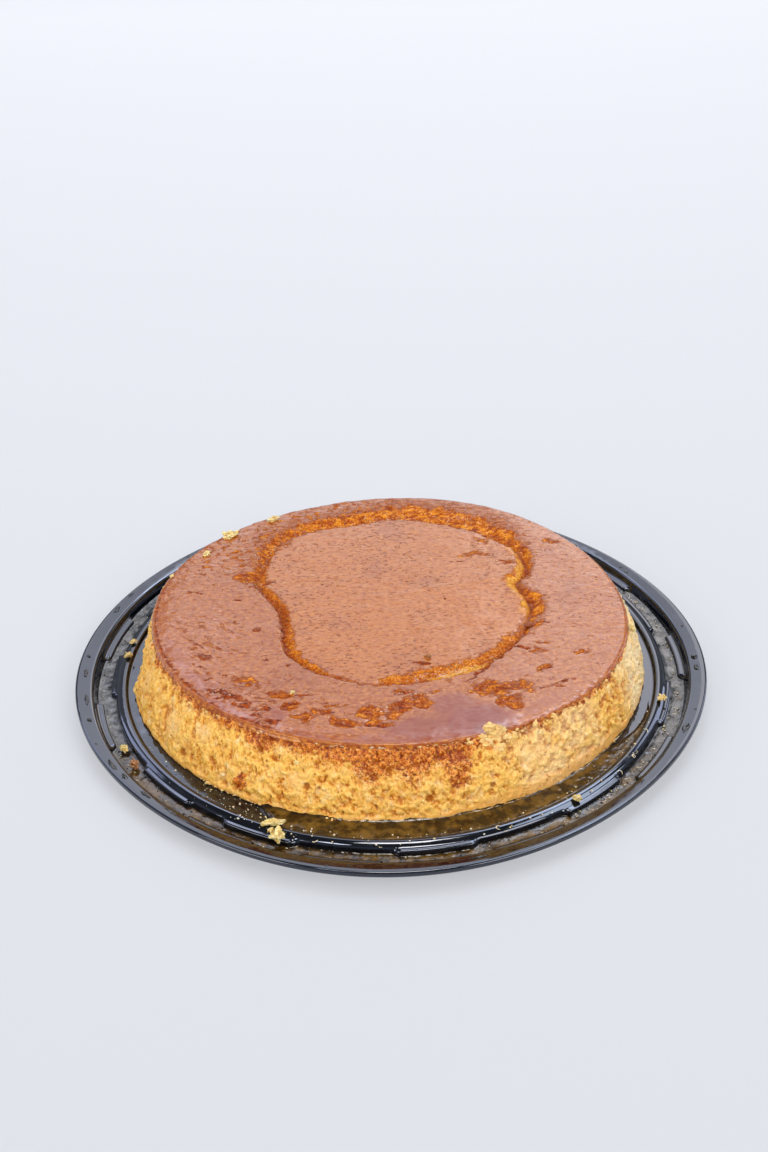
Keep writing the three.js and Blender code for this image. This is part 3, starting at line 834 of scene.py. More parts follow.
SCARS = [
    (-79, -59, 5.4, 2.4, -23, 1.0), (-72, -63, 6.6, 2.6, -22, 1.0), (-67, -69, 5.0, 2.0, -12, 0.8),
    (-56, -74, 2.6, 2.0, -10, 0.8), (-53, -82, 5, 1.5, -11, 0.8), (-60, -78, 3.5, 1.4, -21, 0.7),
    (-44, -70, 3.6, 1.5, -3, 0.8), (5, -64, 4.8, 1.8, -3, 0.9), (5, -74, 5.2, 2.0, 79, 0.9),
    (-7, -88, 6.4, 1.8, -11, 0.8), (-29, -77, 3.4, 1.3, -12, 0.7), (-21, -86, 5, 1.4, -19, 0.7),
    (-40, -64, 5, 0.7, -6, 0.8), (15, -41, 4.2, 1.9, -3, 0.9), (41, -49, 10, 0.9, 50, 0.9),
    (61, -31, 5, 1.2, -12, 0.9), (51, -63, 5, 1.8, -20, 0.6), (54, -77, 5, 1.7, -36, 0.7),
    (68, 5, 4.6, 1.8, -84, 0.7), (-88, -40, 6, 1.1, -42, 0.6), (-92, -27, 6, 1.0, -40, 0.5),
    (-112.6, -9.7, 2.8, 1.6, 70, 0.9), (66.7, -11.4, 2.6, 2.4, 0, 1.0), (72.4, -9.9, 4.2, 0.9, 0, 0.8),
    (71, -47.6, 3.8, 1.1, 8, 0.8), (89, -36, 3.4, 1.0, 5, 0.6), (72, -62, 8, 1.0, 12, 0.6),
    (80, -57, 6, 0.9, 18, 0.6), (-46.7, -40.5, 1.1, 1.0, 0, 0.9), (-57.1, -35.2, 1.0, 1.0, 0, 0.9),
    (-74.7, -3.3, 1.1, 1.0, 0, 0.9), (-74.6, 16.8, 2.0, 0.8, 0, 0.8), (36, 50, 5, 0.8, 0, 0.5),
    (-59, 35, 4, 0.9, 0, 0.7), (28, 14, 1.4, 0.9, 0, 0.7), (45, 1, 1.8, 0.9, 0, 0.6),
    (-96, 24, 5, 0.9, -10, 0.5), (-60, 33, 5, 1.6, -15, 0.7), (-72, 41, 4, 1.5, -20, 0.6),
    (-78, -46, 3, 1.2, -30, 0.6), (-84, -50, 3, 1.2, -30, 0.5), (52, 55, 5, 1.0, -10, 0.6),
]
# raised lips, painted golden as a highlight
LIT_LIPS = [(37, -45, 9, 2.4, 28, 0.8), (25, -50, 10, 2.2, 15, 0.75)]
GLOSSY = [
    (26, -48, 10, 2.6, 14, 1.0), (12, -51, 6, 2.0, 6, 0.9), (46, -37, 4, 2.0, 40, 0.9),
    (6, -64, 5, 1.8, 0, 0.8), (-78, -60, 6, 2.2, -24, 0.9), (-66, -2, 4, 2.0, 20, 0.8),
    (-58, 30, 4, 8, 20, 0.5),
    (40, 94, 14, 3, -10, 0.6), (4, 96, 16, 3, 0, 0.5),
    (-4, -73, 7, 2, 30, 0.5),
]
FILMS = [
    (37, -85, 17, 12, 8, 1.0), (12, -90, 20, 8, -2, 0.65), (27, -73, 12, 8, 10, 0.65),
    (-51, -80, 4, 7, 0, 0.5),
]
WET_MARKS = [
    (-100, -29, 20, 3.4, -65, 0.7), (-85, -53, 15, 3.8, -45, 0.8), (-71, -73, 16, 3.6, -38, 0.85),
    (-40, -95, 24, 5.5, -14, 1.0), (-5, -99, 22, 5.2, 0, 1.0), (-50, -77, 5, 9, -10, 0.8),
    (68, -74, 18, 4.6, 38, 0.8), (60, -50, 9, 3.6, 8, 0.5), (31, -84, 24, 15, 4, 1.0),
    (-56, -12, 3, 20, -4, 0.4), (28, -96, 18, 5, 6, 1.0),
]


def patches(points, marks, ragged, seed, streaks=None):
    """How much each point lies in any of the marks. Their borders wander by so many mm, and
    streaks, where they are given, fray them."""
    x, y = (points[:, k] + wavy(points, 7, seed + 50 * k, 4) * ragged for k in (0, 1))
    most = np.zeros(len(points))
    for middle_x, middle_y, half_length, half_width, slant, strength in marks:
        cos, sin = math.cos(math.radians(slant)), math.sin(math.radians(slant))
        dx, dy = x - middle_x, y - middle_y
        away = np.hypot((dx * cos + dy * sin) / half_length, (dy * cos - dx * sin) / half_width)
        most = np.maximum(most, strength * (1 - ramp(away, 0.5, 1.3)))
    if streaks is None:
        return most
    return ramp(most + 0.46 * streaks * np.minimum(1, 3 * most), 0.12, 0.92)


print(len(BARE_PATCHES), "bare patches and", len(SCARS), "scars")


# %% The top's height and marks at any point
def top_surface(flat):
    """Height of the top in millimetres, and its marks, for points of its outline."""
    x, y = flat.T
    points = at_height(flat, 20.0)
    slanted = at_height(np.column_stack([(x + 0.25 * y) * 0.55, (y - 0.25 * x) * 1.15]), 0.0)
    diagonal = at_height(np.column_stack([(x - y) * 0.20, (x + y) * 0.75]), 3.0)
    streaks = wavy(slanted, 2.4, 162, 4)
    heap = wavy(points, 6.5, 165, 2)
    grain, _, _ = cell_noise(points, 2.6, 160)
    broken = 0.5 - grain

    # the crease: its bank outside, its slope inside, and the bare grain along both
    shift = np.stack([wavy(points, 5, 60, 3), wavy(points, 5, 70, 3)], 1)
    outside, turn = crease_place(flat + 1.1 * shift)
    form = (crease_form(turn, column) for column in range(1, 8))
    out_wide, in_wide, line_depth, pad_border, bare_out, bare_in, line_dark = form
    ragged = 1 + 0.28 * wavy(points, 8, 90, 3)
    out_reach, in_reach = out_wide * ragged, in_wide * ragged
    pad = mixed_by(np.exp(np.minimum(outside, 0) / 30), PAD_DEPTH, pad_border)
    bank = line_depth * (1 - ramp(outside, -0.3, out_reach))
    inner = mixed_by(ramp(-outside, 0.2, in_reach), line_depth, pad)
    drop = np.where(outside > 0, bank, inner) + 0.45 * line_dark * dome(outside + 0.1, 0.7)
    frayed_in = -outside + 1.3 * streaks * np.minimum(1, in_wide / 4)
    frayed_out = outside + 2.0 * streaks * np.minimum(1, out_wide / 5)
    band_in = bare_in * (1 - ramp(frayed_in, in_reach * 0.55, in_reach * 1.15))
    band_out = bare_out * (1 - ramp(frayed_out, out_reach * 0.6, out_reach * 1.2))
    tail_end = out_wide + mixed_by(toward(turn, 105, 55, 78), 5.0, 17.0)
    tail = 1 - ramp(outside, out_wide * 0.7, tail_end)
    band = np.where(outside > 0, np.maximum(band_out, 0.50 * bare_out * tail), band_in)

    # torn patches, burnt scars, raised lips painted golden as a highlight, dark films and wet shine
    torn = 0.84 * patches(points, BARE_PATCHES, 2.6, 80, streaks)
    bare = np.maximum(torn, band * np.clip(1.0 + 0.35 * wavy(points, 6, 95, 2), 0.5, 1))
    scar = patches(points, SCARS, 1.8, 120, streaks)
    lobed = 1.3 * wavy(points, 9, 132, 2)
    ribbon = dome(outside + 2.9 + lobed, 1.9 + 0.5 * lobed) * toward(turn, 9, 22, 34)
    lit_lip = np.maximum(patches(points, LIT_LIPS, 1.6, 130), ribbon)
    film = patches(points, FILMS, 3.0, 140) * (1 - bare) * (1 - 0.8 * scar)
    wet = np.maximum(film, patches(points, WET_MARKS, 3.0, 145) * (1 - bare) * (1 - 0.7 * scar))
    glossy = patches(points, GLOSSY, 1.5, 150) * ramp(wavy(points, 2.2, 155, 2), -0.1, 0.25)
    # painted shade: the crease's line is darkened, and so is the middle of its wall at the left
    crease_shade = line_dark * dome(outside - 0.2, 0.75)
    shaded = dome(outside / in_wide + 0.45, 0.35) * toward(turn, 197, 8, 30)
    rough = np.clip(bare + 0.8 * scar, 0, 1)
    calm = (1 - 0.8 * wet) * (1 - rough)

    # where the skin wrinkled: at the left, along the right rim, and in hummocks behind
    wrinkled = np.exp(-(((x + 88) / 20) ** 2 + ((y + 22) / 36) ** 2))
    low_left = np.exp(-(((x + 66) / 33) ** 2 + ((y + 69) / 17) ** 2))
    wrinkled = np.maximum(wrinkled, 0.8 * low_left)
    from_middle = flat - TOP_CENTRE
    from_rim = top_reach(np.arctan2(*from_middle.T[::-1])) - np.linalg.norm(from_middle, axis=1)
    right_rim = toward(turn, 335, 22, 40) * (1 - ramp(from_rim, 6, 30))
    hummocks = toward(turn, 126, 30, 52) * ramp(outside, 0, 5)
    rim_drop = mixed_by(toward(turn, 236, 50, 80), 0.3, 0.85)

    height = FLAN_TOP - drop + TOP_WAVINESS * 0.6 * wavy(points, 14, 180, 2)
    height += rough * (0.42 * streaks + 0.30 * broken + 0.25 * heap)
    height -= 0.30 * torn + 0.25 * scar
    height += film * 0.10 + lit_lip * 0.45
    height -= rim_drop * np.clip(1 - from_rim / 11, 0, 1) ** 2
    height += calm * wrinkled * 0.27 * wavy(diagonal, 2.4, 200, 2)
    height += calm * right_rim * 0.10 * wavy(points * (0.3, 1, 1), 2.2, 205, 2)
    height += (1 - rough) * hummocks * 0.40 * wavy(points * (0.7, 1, 1), 6.0, 206, 3)
    height += calm * (0.05 + 0.04 * (1 - ramp(from_rim, 3, 16))) * wavy(points, 3.0, 210, 2)

    specks = hummocks * ramp(wavy(points, 3.2, 215, 2), 0.15, 0.5) * 0.7
    rows = calm * wrinkled * ramp(wavy(diagonal, 3.2, 216, 3), 0.15, 0.5) * 0.62
    dashes = low_left * calm * ramp(wavy(slanted, 1.7, 217, 3), -0.05, 0.36) * 0.62
    tanned = toward(turn, 206, 34, 50) * (1 - ramp(from_rim + 1.4 * streaks, 0.8, 3.8)) * 0.9
    # how light the grain is painted: partly random streaks, partly the relief, paler on heaps and raised
    # grains as highlight; in the crease it is painted darker down the slope towards the line as shade
    lumpy = 0.50 - 0.18 * torn + 0.50 * streaks + 0.30 * heap + 0.30 * broken
    slope_shade = 0.22 + 0.62 * np.clip(-outside / in_wide, 0, 1) + 0.25 * (lumpy - 0.5)
    lumpy = np.clip(mixed_by(band_in * (outside < 0) * (1 - torn), lumpy, slope_shade), 0, 1)
    return height, {
        "bare": np.maximum(bare, specks), "film": film, "wet": wet, "grain": lumpy,
        "lit_lip": lit_lip, "glossy": glossy, "pad": ramp(-outside, 0, 6),
        # the scar mark also carries the painted shade along the crease
        "scar": np.maximum.reduce([scar, 0.9 * crease_shade, rows, dashes, tanned, 0.6 * shaded]),
    }


print("height at the top's centre", top_surface(TOP_CENTRE[None, :])[0].round(2), "mm")

# %% [markdown]
# ## The caramel skin
# Caramel soaked into the top few millimetres and set as a wet skin. It is a closed piece of its
# own that lies over the custard and turns down a little over its edge. A square grid would be
# coarse at the edge and rings with equal corners would crowd the middle, so each ring gets as
# many corners as its length needs, and neighbouring rings are zipped together with triangles.

# %% Rings of the skin
SKIN_SPACING = 0.68
SKIN_RING_STEP = 0.64
SKIN_UNDERSIDE = 32.4
FRONT_CROWDING = 0.24


def crowded_turns(count):
    """Directions all the way round, closer together in front, where the eye is nearest."""
    even = np.arange(count) / count * 2 * math.pi
    return even - FRONT_CROWDING * np.cos(even)


def skin_ring(inset, count):
    """Places of a ring's corners, so many mm inside the top's edge."""
    turn = crowded_turns(count)
    return TOP_CENTRE + facing(turn) * np.maximum(top_reach(turn) - inset, 0)[:, None]


flats = [TOP_CENTRE[None, :]]
for inset in np.arange(TOP_RADIUS - 3, EDGE_ROUND, -SKIN_RING_STEP):
    share = 1 - inset / TOP_RADIUS
    turn = crowded_turns(max(6, int(2 * math.pi * TOP_RADIUS * share / SKIN_SPACING)))
    flats.append(TOP_CENTRE + facing(turn) * (top_reach(turn) * share)[:, None])
flat_top = np.concatenate(flats)
top_height, top_marks = top_surface(flat_top)
lowest, highest = top_height.min().round(1), top_height.max().round(1)
print("top of the skin", len(flat_top), "corners, heights", lowest, highest)

# %% Its rolled edge, hem and underside
EDGE_COUNT = len(flats[-1])
edge_turn = crowded_turns(EDGE_COUNT)
edge_facing = facing(edge_turn)
edge_height = top_height[-EDGE_COUNT:]
edge_degrees = np.degrees(edge_turn) % 360
around_edge = at_height(TOP_CENTRE + edge_facing * TOP_RADIUS, 0.0)
torn_edge = toward(edge_degrees, 312, 22, 34)
edge_crumb, _, _ = cell_noise(around_edge, 2.4, 226)
edge_in = (0.25 + 0.5 * torn_edge) * wavy(around_edge, 4, 225, 3)
edge_in += (0.2 + 0.5 * torn_edge) * (0.45 - edge_crumb)
rings = []
for step, angle in enumerate((0.35, 0.75, 1.15, 1.57), start=1):
    reach = top_reach(edge_turn) - EDGE_ROUND * (1 - math.sin(angle)) + 0.12 + edge_in * step / 4
    flat = TOP_CENTRE + edge_facing * reach[:, None]
    rings.append(at_height(flat, edge_height - EDGE_ROUND * (1 - math.cos(angle))))
rolled_mark = np.repeat([0.0, 0.15, 0.4, 0.75], EDGE_COUNT)
front_left = toward(edge_degrees, 222, 22, 40)
hem = 0.75 + 0.7 * front_left + (0.5 + 0.5 * torn_edge) * wavy(around_edge, 5, 220, 4)
hem = np.clip(hem, 0.2, 2.6)
side_length = FLAN_TOP - EDGE_ROUND - FLAN_BOTTOM
# share of the hem, how far it stands out from the side, and whether it is ragged there
for part, stand_out, ragged in ((0.4, 0.10, 1), (0.8, 0.02, 1), (1.0, -0.35, 1), (1.0, -1.6, 0)):
    ring = side_at(edge_turn, 1 - hem * part / side_length)
    bumpy = edge_in + 0.35 * wavy(around_edge + (0, 0, 3 * part), 2.2, 227, 2) * part
    ring[:, :2] += edge_facing * (stand_out + ragged * bumpy)[:, None]
    ring[:, 2] += edge_height - FLAN_TOP
    rings.append(ring)
for inset, count, height in ((6, 512, 31.2), (30, 256, SKIN_UNDERSIDE), (70, 64, SKIN_UNDERSIDE)):
    rings.append(at_height(skin_ring(inset, count), height))
rings.append(at_height(TOP_CENTRE[None, :], SKIN_UNDERSIDE))
skin_points = np.concatenate([at_height(flat_top, top_height), *rings])
extra = len(skin_points) - len(flat_top)
hidden = extra - len(rolled_mark)
rim_mark = np.concatenate([np.zeros(len(flat_top)), rolled_mark, np.ones(hidden)])
print("hem hangs", hem.min().round(1), "to", hem.max().round(1), "mm over the edge")

# %% [markdown]
# ## Baked caramel, as a finish
# Caramel is cooked sugar, an amber glass with an IOR near 1.48 that stays wet. Over custard it
# looks orange where it is thin and red-brown where it is deep. So the finish has two layers: the
# stained custard is the shader's dull base, and the wet syrup on it is the coat. The coat is
# missing where the skin tore, apart from small wet glints, so those places show their full
# colour. Fine wrinkles break up the mirror, and pin pores are painted dark as shade. The numbers
# stored at the corners say where it is bare and grainy, where a deep film lies, where it is
# scarred, where shade is painted along the crease, and where a raised lip is painted golden as a
# highlight. The grain is painted paler on its bumps as highlight and darker in its hollows as shade.

# %% Wet caramel over baked custard
caramel = Finish("wet caramel over baked custard")
mottle = caramel.noise(2.1, 4.0, 0.62)
wander = caramel.noise(26, 3.0)
speckle = caramel.noise(0.9)
beaded = caramel.noise(1.7, 1.0)
scratch = caramel.noise(1.3, 2.0, 0.6, stretch=(0.5, 1.1, 1.0))
combed = caramel.noise(1.9, 3.0, 0.6, stretch=(0.40, 1.3, 1.0))
names = ("film", "wet", "pad", "lit_lip", "glossy", "rim")
film, wet, pad, lit_lip, glossy, rim = (caramel.stored(name) for name in names)
frayed = mottle.remap(0.3, 0.7, -0.22, 0.22) + combed.remap(0.3, 0.7, -0.34, 0.34)
bare = (caramel.stored("bare") + frayed).remap(0.22, 0.84)
scar = (caramel.stored("scar") + frayed).remap(0.22, 0.85)
grain = caramel.stored("grain") + speckle.remap(0.3, 0.7, -0.32, 0.32)
grain += bare.remap(0.15, 0.95, -0.42, 0.08)
pore_distance, pore_number, _ = caramel.cells(2.5)
pore = pore_distance.remap(0.26, 0.15) * pore_number.remap(0.42, 0.5)
pore = pore.most(scratch.remap(0.60, 0.70) * pad)
pore = pore * wander.remap(0.38, 0.56, 0.2, 1.0) * wet.remap(0.2, 0.7, 1.0, 0.0)

# painted highlight and shade: raised grains paler, hollows and the crease's slope darker
shaded_wet_grain = painted(grain.remap(0.0, 0.5).blend("#842f04", "#b4580c"), [(grain.remap(0.45, 1.0), "#ea9628")])
# burnt scars, and the painted shade along the crease, take this colour
burnt_and_shade = mottle.remap(0.42, 0.6).blend("#64200a", "#a8440c")
lit_gold = grain.remap(0.2, 0.7).blend("#d07f1c", "#eeae48")
hem_grain = mottle.remap(0.42, 0.6).blend("#8a3808", "#c87a22")
colour = painted(pad.blend("#a05224", "#b46218"), [
    (mottle.remap(0.40, 0.66, 0.0, 0.85), "#c67822"),
    (scratch.remap(0.50, 0.66, 0.0, 0.55), "#8a3e10"),
    (wander.remap(0.52, 0.7, 0.0, 0.35), "#8a3f1e"),
    (wet.remap(0.2, 1.0, 0.0, 0.6), "#94482e"),
    (film.remap(0.1, 0.9), "#8a3c2c"),
    (bare, shaded_wet_grain),
    # burnt scars and the painted shade along the crease
    (scar.remap(0.1, 0.75, 0.0, 0.9), burnt_and_shade),
    # painted highlight: the raised lips in gold
    (lit_lip.remap(0.2, 0.7, 0.0, 0.9), lit_gold),
    # painted shade in the pin pores
    (pore.remap(0.0, 1.0, 0.0, 0.7), "#6e2c0c"),
    (rim.remap(0.0, 0.9), hem_grain),
])
rough = bare.most(scar)
wetness = rough.remap(0.1, 0.8, 1.0, 0.02) * scratch.remap(0.50, 0.64, 1.0, 0.62)
glint = speckle.remap(0.53, 0.60) * beaded.remap(0.48, 0.56)
glint = glint.most(glossy.remap(0.2, 0.7))
relief = beaded * rough.remap(0.0, 1.0, 0.045, 0.75) + speckle * rough.remap(0.0, 1.0, 0.016, 0.16)
relief = relief + caramel.noise(4.5, 1.0) * 0.12 - scratch * 0.05
relief = relief * wet.remap(0.1, 0.8, 1.0, 0.08) - pore * 0.14
bumps = relief.bump(1.0, MM)
caramel.wear(
    Base_Color=colour, Roughness=rough.remap(0.1, 0.9, 0.38, 0.62), Normal=bumps,
    IOR=1.46, Specular_IOR_Level=0.06,
    Coat_Weight=wetness.most(glint), Coat_Normal=bumps, Coat_IOR=1.48, Coat_Roughness=0.12,
    Subsurface_Weight=0.10, Subsurface_Radius=(0.0022, 0.0008, 0.0003), Subsurface_Scale=1.0,
)

skin_counts = [*map(len, flats), *map(len, rings)]
skin = new_piece("caramel_skin", skin_points, ring_faces(skin_counts), caramel)
give(skin, rim=rim_mark, **{name: np.pad(mark, (0, extra)) for name, mark in top_marks.items()})
faces_outward(skin)
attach(skin, "root")
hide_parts("flan")

# %% [markdown]
# ## The custard's body
# Under the skin is steamed egg custard. Its side tore as it left the pan, so it is all lumps and
# pores: knobs of two to five millimetres, grit on them, and dark pinholes between. That is
# relief, not only colour, so the side is a fine grid, and each corner is pushed along its own
# normal by smooth noise. Other noise first shifts the places at which it is read, which tears the
# lumps. What pushed a corner is stored as well, so that the lumps can be painted paler as
# highlight and the hollows darker as shade. At the left the side is dented a little.

# %% The side as a fine grid
BODY_COLUMNS = 1440
SIDE_ROWS = 60
column_turn = crowded_turns(BODY_COLUMNS)
row_share = np.linspace(1.0, 0.0, SIDE_ROWS)
grid = np.stack([side_at(column_turn, np.full(BODY_COLUMNS, share)) for share in row_share])
sideways = (np.roll(grid, -1, axis=1) - np.roll(grid, 1, axis=1)) / 2
normals = np.cross(np.gradient(grid, axis=0), sideways).reshape(-1, 3)
normals /= np.linalg.norm(normals, axis=1, keepdims=True)
side = grid.reshape(-1, 3)
side_share = np.repeat(row_share, BODY_COLUMNS)
side_degrees = np.degrees(np.arctan2(side[:, 1] - TOP_CENTRE[1], side[:, 0] - TOP_CENTRE[0])) % 360
below_top = FLAN_TOP - side[:, 2]
spot_border = 1 + 0.35 * wavy(side, 4, 300, 2)
print("side of", SIDE_ROWS, "rows with", BODY_COLUMNS, "corners each")


# %% How rough, and where
def spot(x, y, z, radius, squeeze=1.0):
    """1 at a place on the side, falling to 0 at the radius, with a ragged border."""
    away = np.linalg.norm((side - (x, y, z)) * (1, 1, squeeze), axis=1)
    return 1 - ramp(away * spot_border / radius, 0.55, 1.0)


# strength, then the place and radius in millimetres, of the patches that came off cleanly
SMOOTH_SPOTS = [
    (0.7, 62.6, -96, 24, 9), (0.85, -88, -78, 26, 8), (1.0, -42, -101, 17, 7),
    (0.85, -101, -62, 20, 8), (0.7, -114, -30, 20, 7),
]
smooth_zone = np.maximum.reduce([strength * spot(*at) for strength, *at in SMOOTH_SPOTS])
foot_swell = wavy(side * (1, 1, 0), 13, 315, 3)
foot_line = 7.2 + 0.8 * foot_swell + 3.4 * toward(side_degrees, 308, 14, 30)
foot_zone = 1 - ramp(side[:, 2] + 0.9 * wavy(side, 5, 310, 2), foot_line, foot_line + 2.2)
torn_side = toward(side_degrees, 315, 24, 36)
rough = (1 - 0.7 * smooth_zone) * (1 - 0.75 * foot_zone)
rough *= mixed_by(torn_side, ramp(below_top, 0.9, 3.2), ramp(below_top, 0.2, 1.6))
print("the foot is", round(100 * foot_zone.mean()), "percent of the side")

# %% Lumps, crevices, pores and pits
stretched = side.copy()
stretched[:, 2] *= 1 - 0.45 * toward(side_degrees, 195, 22, 50)
warped = stretched + 1.5 * np.stack([wavy(stretched, 4.0, seed, 3) for seed in (320, 323, 326)], axis=1)
mass = wavy(warped, 9, 330, 3)
knobs = wavy(warped, 3.6, 333, 4)
grit = wavy(warped, 1.5, 336, 2)
hollow = ramp(wavy(warped, 3.6, 339, 3), 0.28, 0.75)
chip, chip_next, _ = cell_noise(warped, 3.3, 342)
crevice = (1 - ramp(chip_next - chip, 0.02, 0.16)) * ramp(wavy(side, 6, 345, 2), -0.1, 0.3)
pore_at, _, pore_number = cell_noise(warped, 3.4, 348)
pore_radius = 0.07 + 0.10 * pore_number
pores = (1 - ramp(pore_at, pore_radius, pore_radius + 0.09)) * (pore_number > 0.45)
pit_at, _, pit_number = cell_noise(side, 9.0, 351)
pits = 1 - ramp(pit_at + 0.05 * knobs, 0.04 + 0.1 * pit_number, 0.13 + 0.12 * pit_number)
pits *= (pit_number > 0.55) * (1 - foot_zone)
pits = np.maximum(pits, 0.8 * spot(63, -94, 10.5, 3.2, 1.6))
bold = 1 + 0.45 * toward(side_degrees, 325, 25, 45)
heaped = 0.55 * mass + 1.10 * bold * knobs + 0.60 * grit
push = rough * (heaped - 0.95 * hollow - 0.40 * crevice - 0.30) - 0.10
push -= (0.3 + 0.7 * rough) * 0.42 * pores * ramp(below_top, 0.9, 2.0)
push -= 0.9 * pits
push += foot_zone * (0.25 + 0.8 * foot_swell) - 0.40 * (1 - ramp(side[:, 2], 6.1, 7.0))
push -= 0.5 * toward(side_degrees, 236, 50, 80) * (1 - ramp(below_top, 1.4, 2.6))
push = np.clip(push, -2.4, 1.2)
# the relief, kept for painting the lumps paler as highlight and the hollows darker as shade
relief = heaped - 0.8 * hollow - 0.5 * crevice
lowest, highest = np.percentile(relief, (3, 97))
lump = np.clip((relief - lowest) / (highest - lowest), 0, 1)
lump = mixed_by(0.75 * np.maximum(smooth_zone, foot_zone), lump, 0.58 + 0.25 * lump)
dent = toward(side_degrees, 180, 5, 13) * (2.0 + 2.4 * (1 - ramp(side[:, 2], 9, 24)))
body_side = side + normals * (push - dent)[:, None]
body_side[side_share == 0, 2] = FLAN_BOTTOM - 0.15
print("side pushed", push.min().round(2), "to", push.max().round(2), "mm, spread", push.std().round(2))

# %% Where caramel ran down the side
# direction in degrees, how far down it ran in millimetres, and its width in degrees
STAINS = [
    (180, 2.4, 12), (200, 3.8, 10), (215, 4.8, 10), (229, 4.8, 8), (240, 7.2, 6), (249, 5.2, 7),
    (258, 8.0, 6), (266, 12.0, 7), (275, 13.0, 6), (284, 13.0, 5), (293, 5.0, 5), (303, 3.2, 7),
    (318, 2.6, 6), (329, 3.6, 6), (340, 1.8, 6),
]
# strength, then the place and radius in millimetres, of single stains lower down
STAIN_SPOTS = [
    (1.1, -67.4, -96, 13, 4.6), (0.7, -64, -92, 9.5, 4.0), (1.1, -62.5, -87, 31, 4),
    (0.85, 28, -107, 21, 5.5), (0.7, 31, -105, 26, 4.5), (0.6, 46, -103, 26, 3.4),
    (0.5, -84, -84, 24, 2.6), (0.6, 63, -94, 10.5, 3.0), (0.5, 72, -88, 26, 2.6),
]
stain_depth = 1.0 + 1.2 * np.clip(wavy(side, 12, 370, 2) + 0.3, 0, 1)
for direction, depth, width in STAINS:
    away = (side_degrees - direction + 180) % 360 - 180
    stain_depth = np.maximum(stain_depth, depth * dome(away, width))
drips = wavy(side * (1, 1, 0.5), 3.2, 380, 4) * np.minimum(1, stain_depth / 3)
stain = 1 - ramp(below_top - 0.6 + 2.4 * drips, stain_depth * 0.35, stain_depth * 1.6)
stain = np.maximum.reduce([stain, *(strength * spot(*at) for strength, *at in STAIN_SPOTS)])
# painted light: the custard's right side, and its front right, are painted paler
pale = toward(side_degrees, 353, 14, 24) + 0.45 * toward(side_degrees, 28, 5, 48)
pale = np.clip(pale + 0.5 * toward(side_degrees, 309, 6, 16), 0, 1)
pale *= np.clip(0.85 + 0.9 * wavy(side, 9, 385, 3), 0, 1)
print("caramel covers", round(100 * stain.mean()), "percent of the side")

# %% Closing the body
LID_HEIGHT = 31.9
BASE_HEIGHT = FLAN_BOTTOM - 0.2
lid = [at_height(TOP_CENTRE[None, :], LID_HEIGHT), at_height(skin_ring(40, 360), LID_HEIGHT)]
for inset, height in ((4.0, LID_HEIGHT), (1.4, 33.6)):
    lid.append(at_height(skin_ring(inset, BODY_COLUMNS), height))
base = []
for shrink, count in ((0.95, BODY_COLUMNS), (0.8, 360), (0.4, 90)):
    flat = FOOT_CENTRE + (foot_outline(crowded_turns(count)) - FOOT_CENTRE) * shrink
    base.append(at_height(flat, BASE_HEIGHT))
base.append(at_height(FOOT_CENTRE[None, :], BASE_HEIGHT))
body_points = np.concatenate([*lid, body_side, *base])
body_counts = [*map(len, lid), *[BODY_COLUMNS] * SIDE_ROWS, *map(len, base)]
hidden = [sum(map(len, rings)) for rings in (lid, base)]
# pit tells the finish where to paint the pinholes and pits darker as shade
pit = np.clip(np.maximum(0.9 * pores, pits), 0, 1)
side_marks = {
    "lump": lump, "stain": stain, "smooth": smooth_zone, "pale": pale, "pit": pit, "foot": foot_zone,
}
print("body closed with", hidden[0], "corners above and", hidden[1], "below")

# %% [markdown]
# ## Steamed custard, as a finish
# Custard is egg and milk set by heat: matt to satiny, moist, and a little translucent, so light
# wanders in it for a millimetre or two and comes out warm. Lumps are painted pale gold as
# highlight, hollows deeper orange and pinholes brown as shade. Where caramel ran over the edge it
# is stained red-brown.

# %% Moist steamed custard
custard = Finish("moist steamed egg custard")
blotch = custard.noise(4.6, 4.0, 0.6)
fleck = custard.noise(1.5, 3.0, 0.65)
grainy = custard.noise(1.0, 2.0, 0.6)
hole_distance, hole_width, hole_number = custard.cells(1.9)
pinhole = (hole_distance * hole_width.remap(0.0, 1.0, 0.8, 1.7)).remap(0.36, 0.18)
pinhole = pinhole * hole_number.remap(0.64, 0.70) * blotch.remap(0.42, 0.56, 1.0, 0.35)
holes = custard.stored("pit").most(pinhole)
shaded_relief = custard.stored("lump") + fleck.remap(0.3, 0.7, -0.15, 0.15)
ran_down = custard.stored("stain")
run = ran_down * fleck.remap(0.34, 0.62, 1.25, 0.60) * grainy.remap(0.36, 0.64, 1.3, 0.55)
dotted = custard.noise(1.2, 1.0).remap(0.56, 0.63) * ran_down.remap(0.15, 0.6)
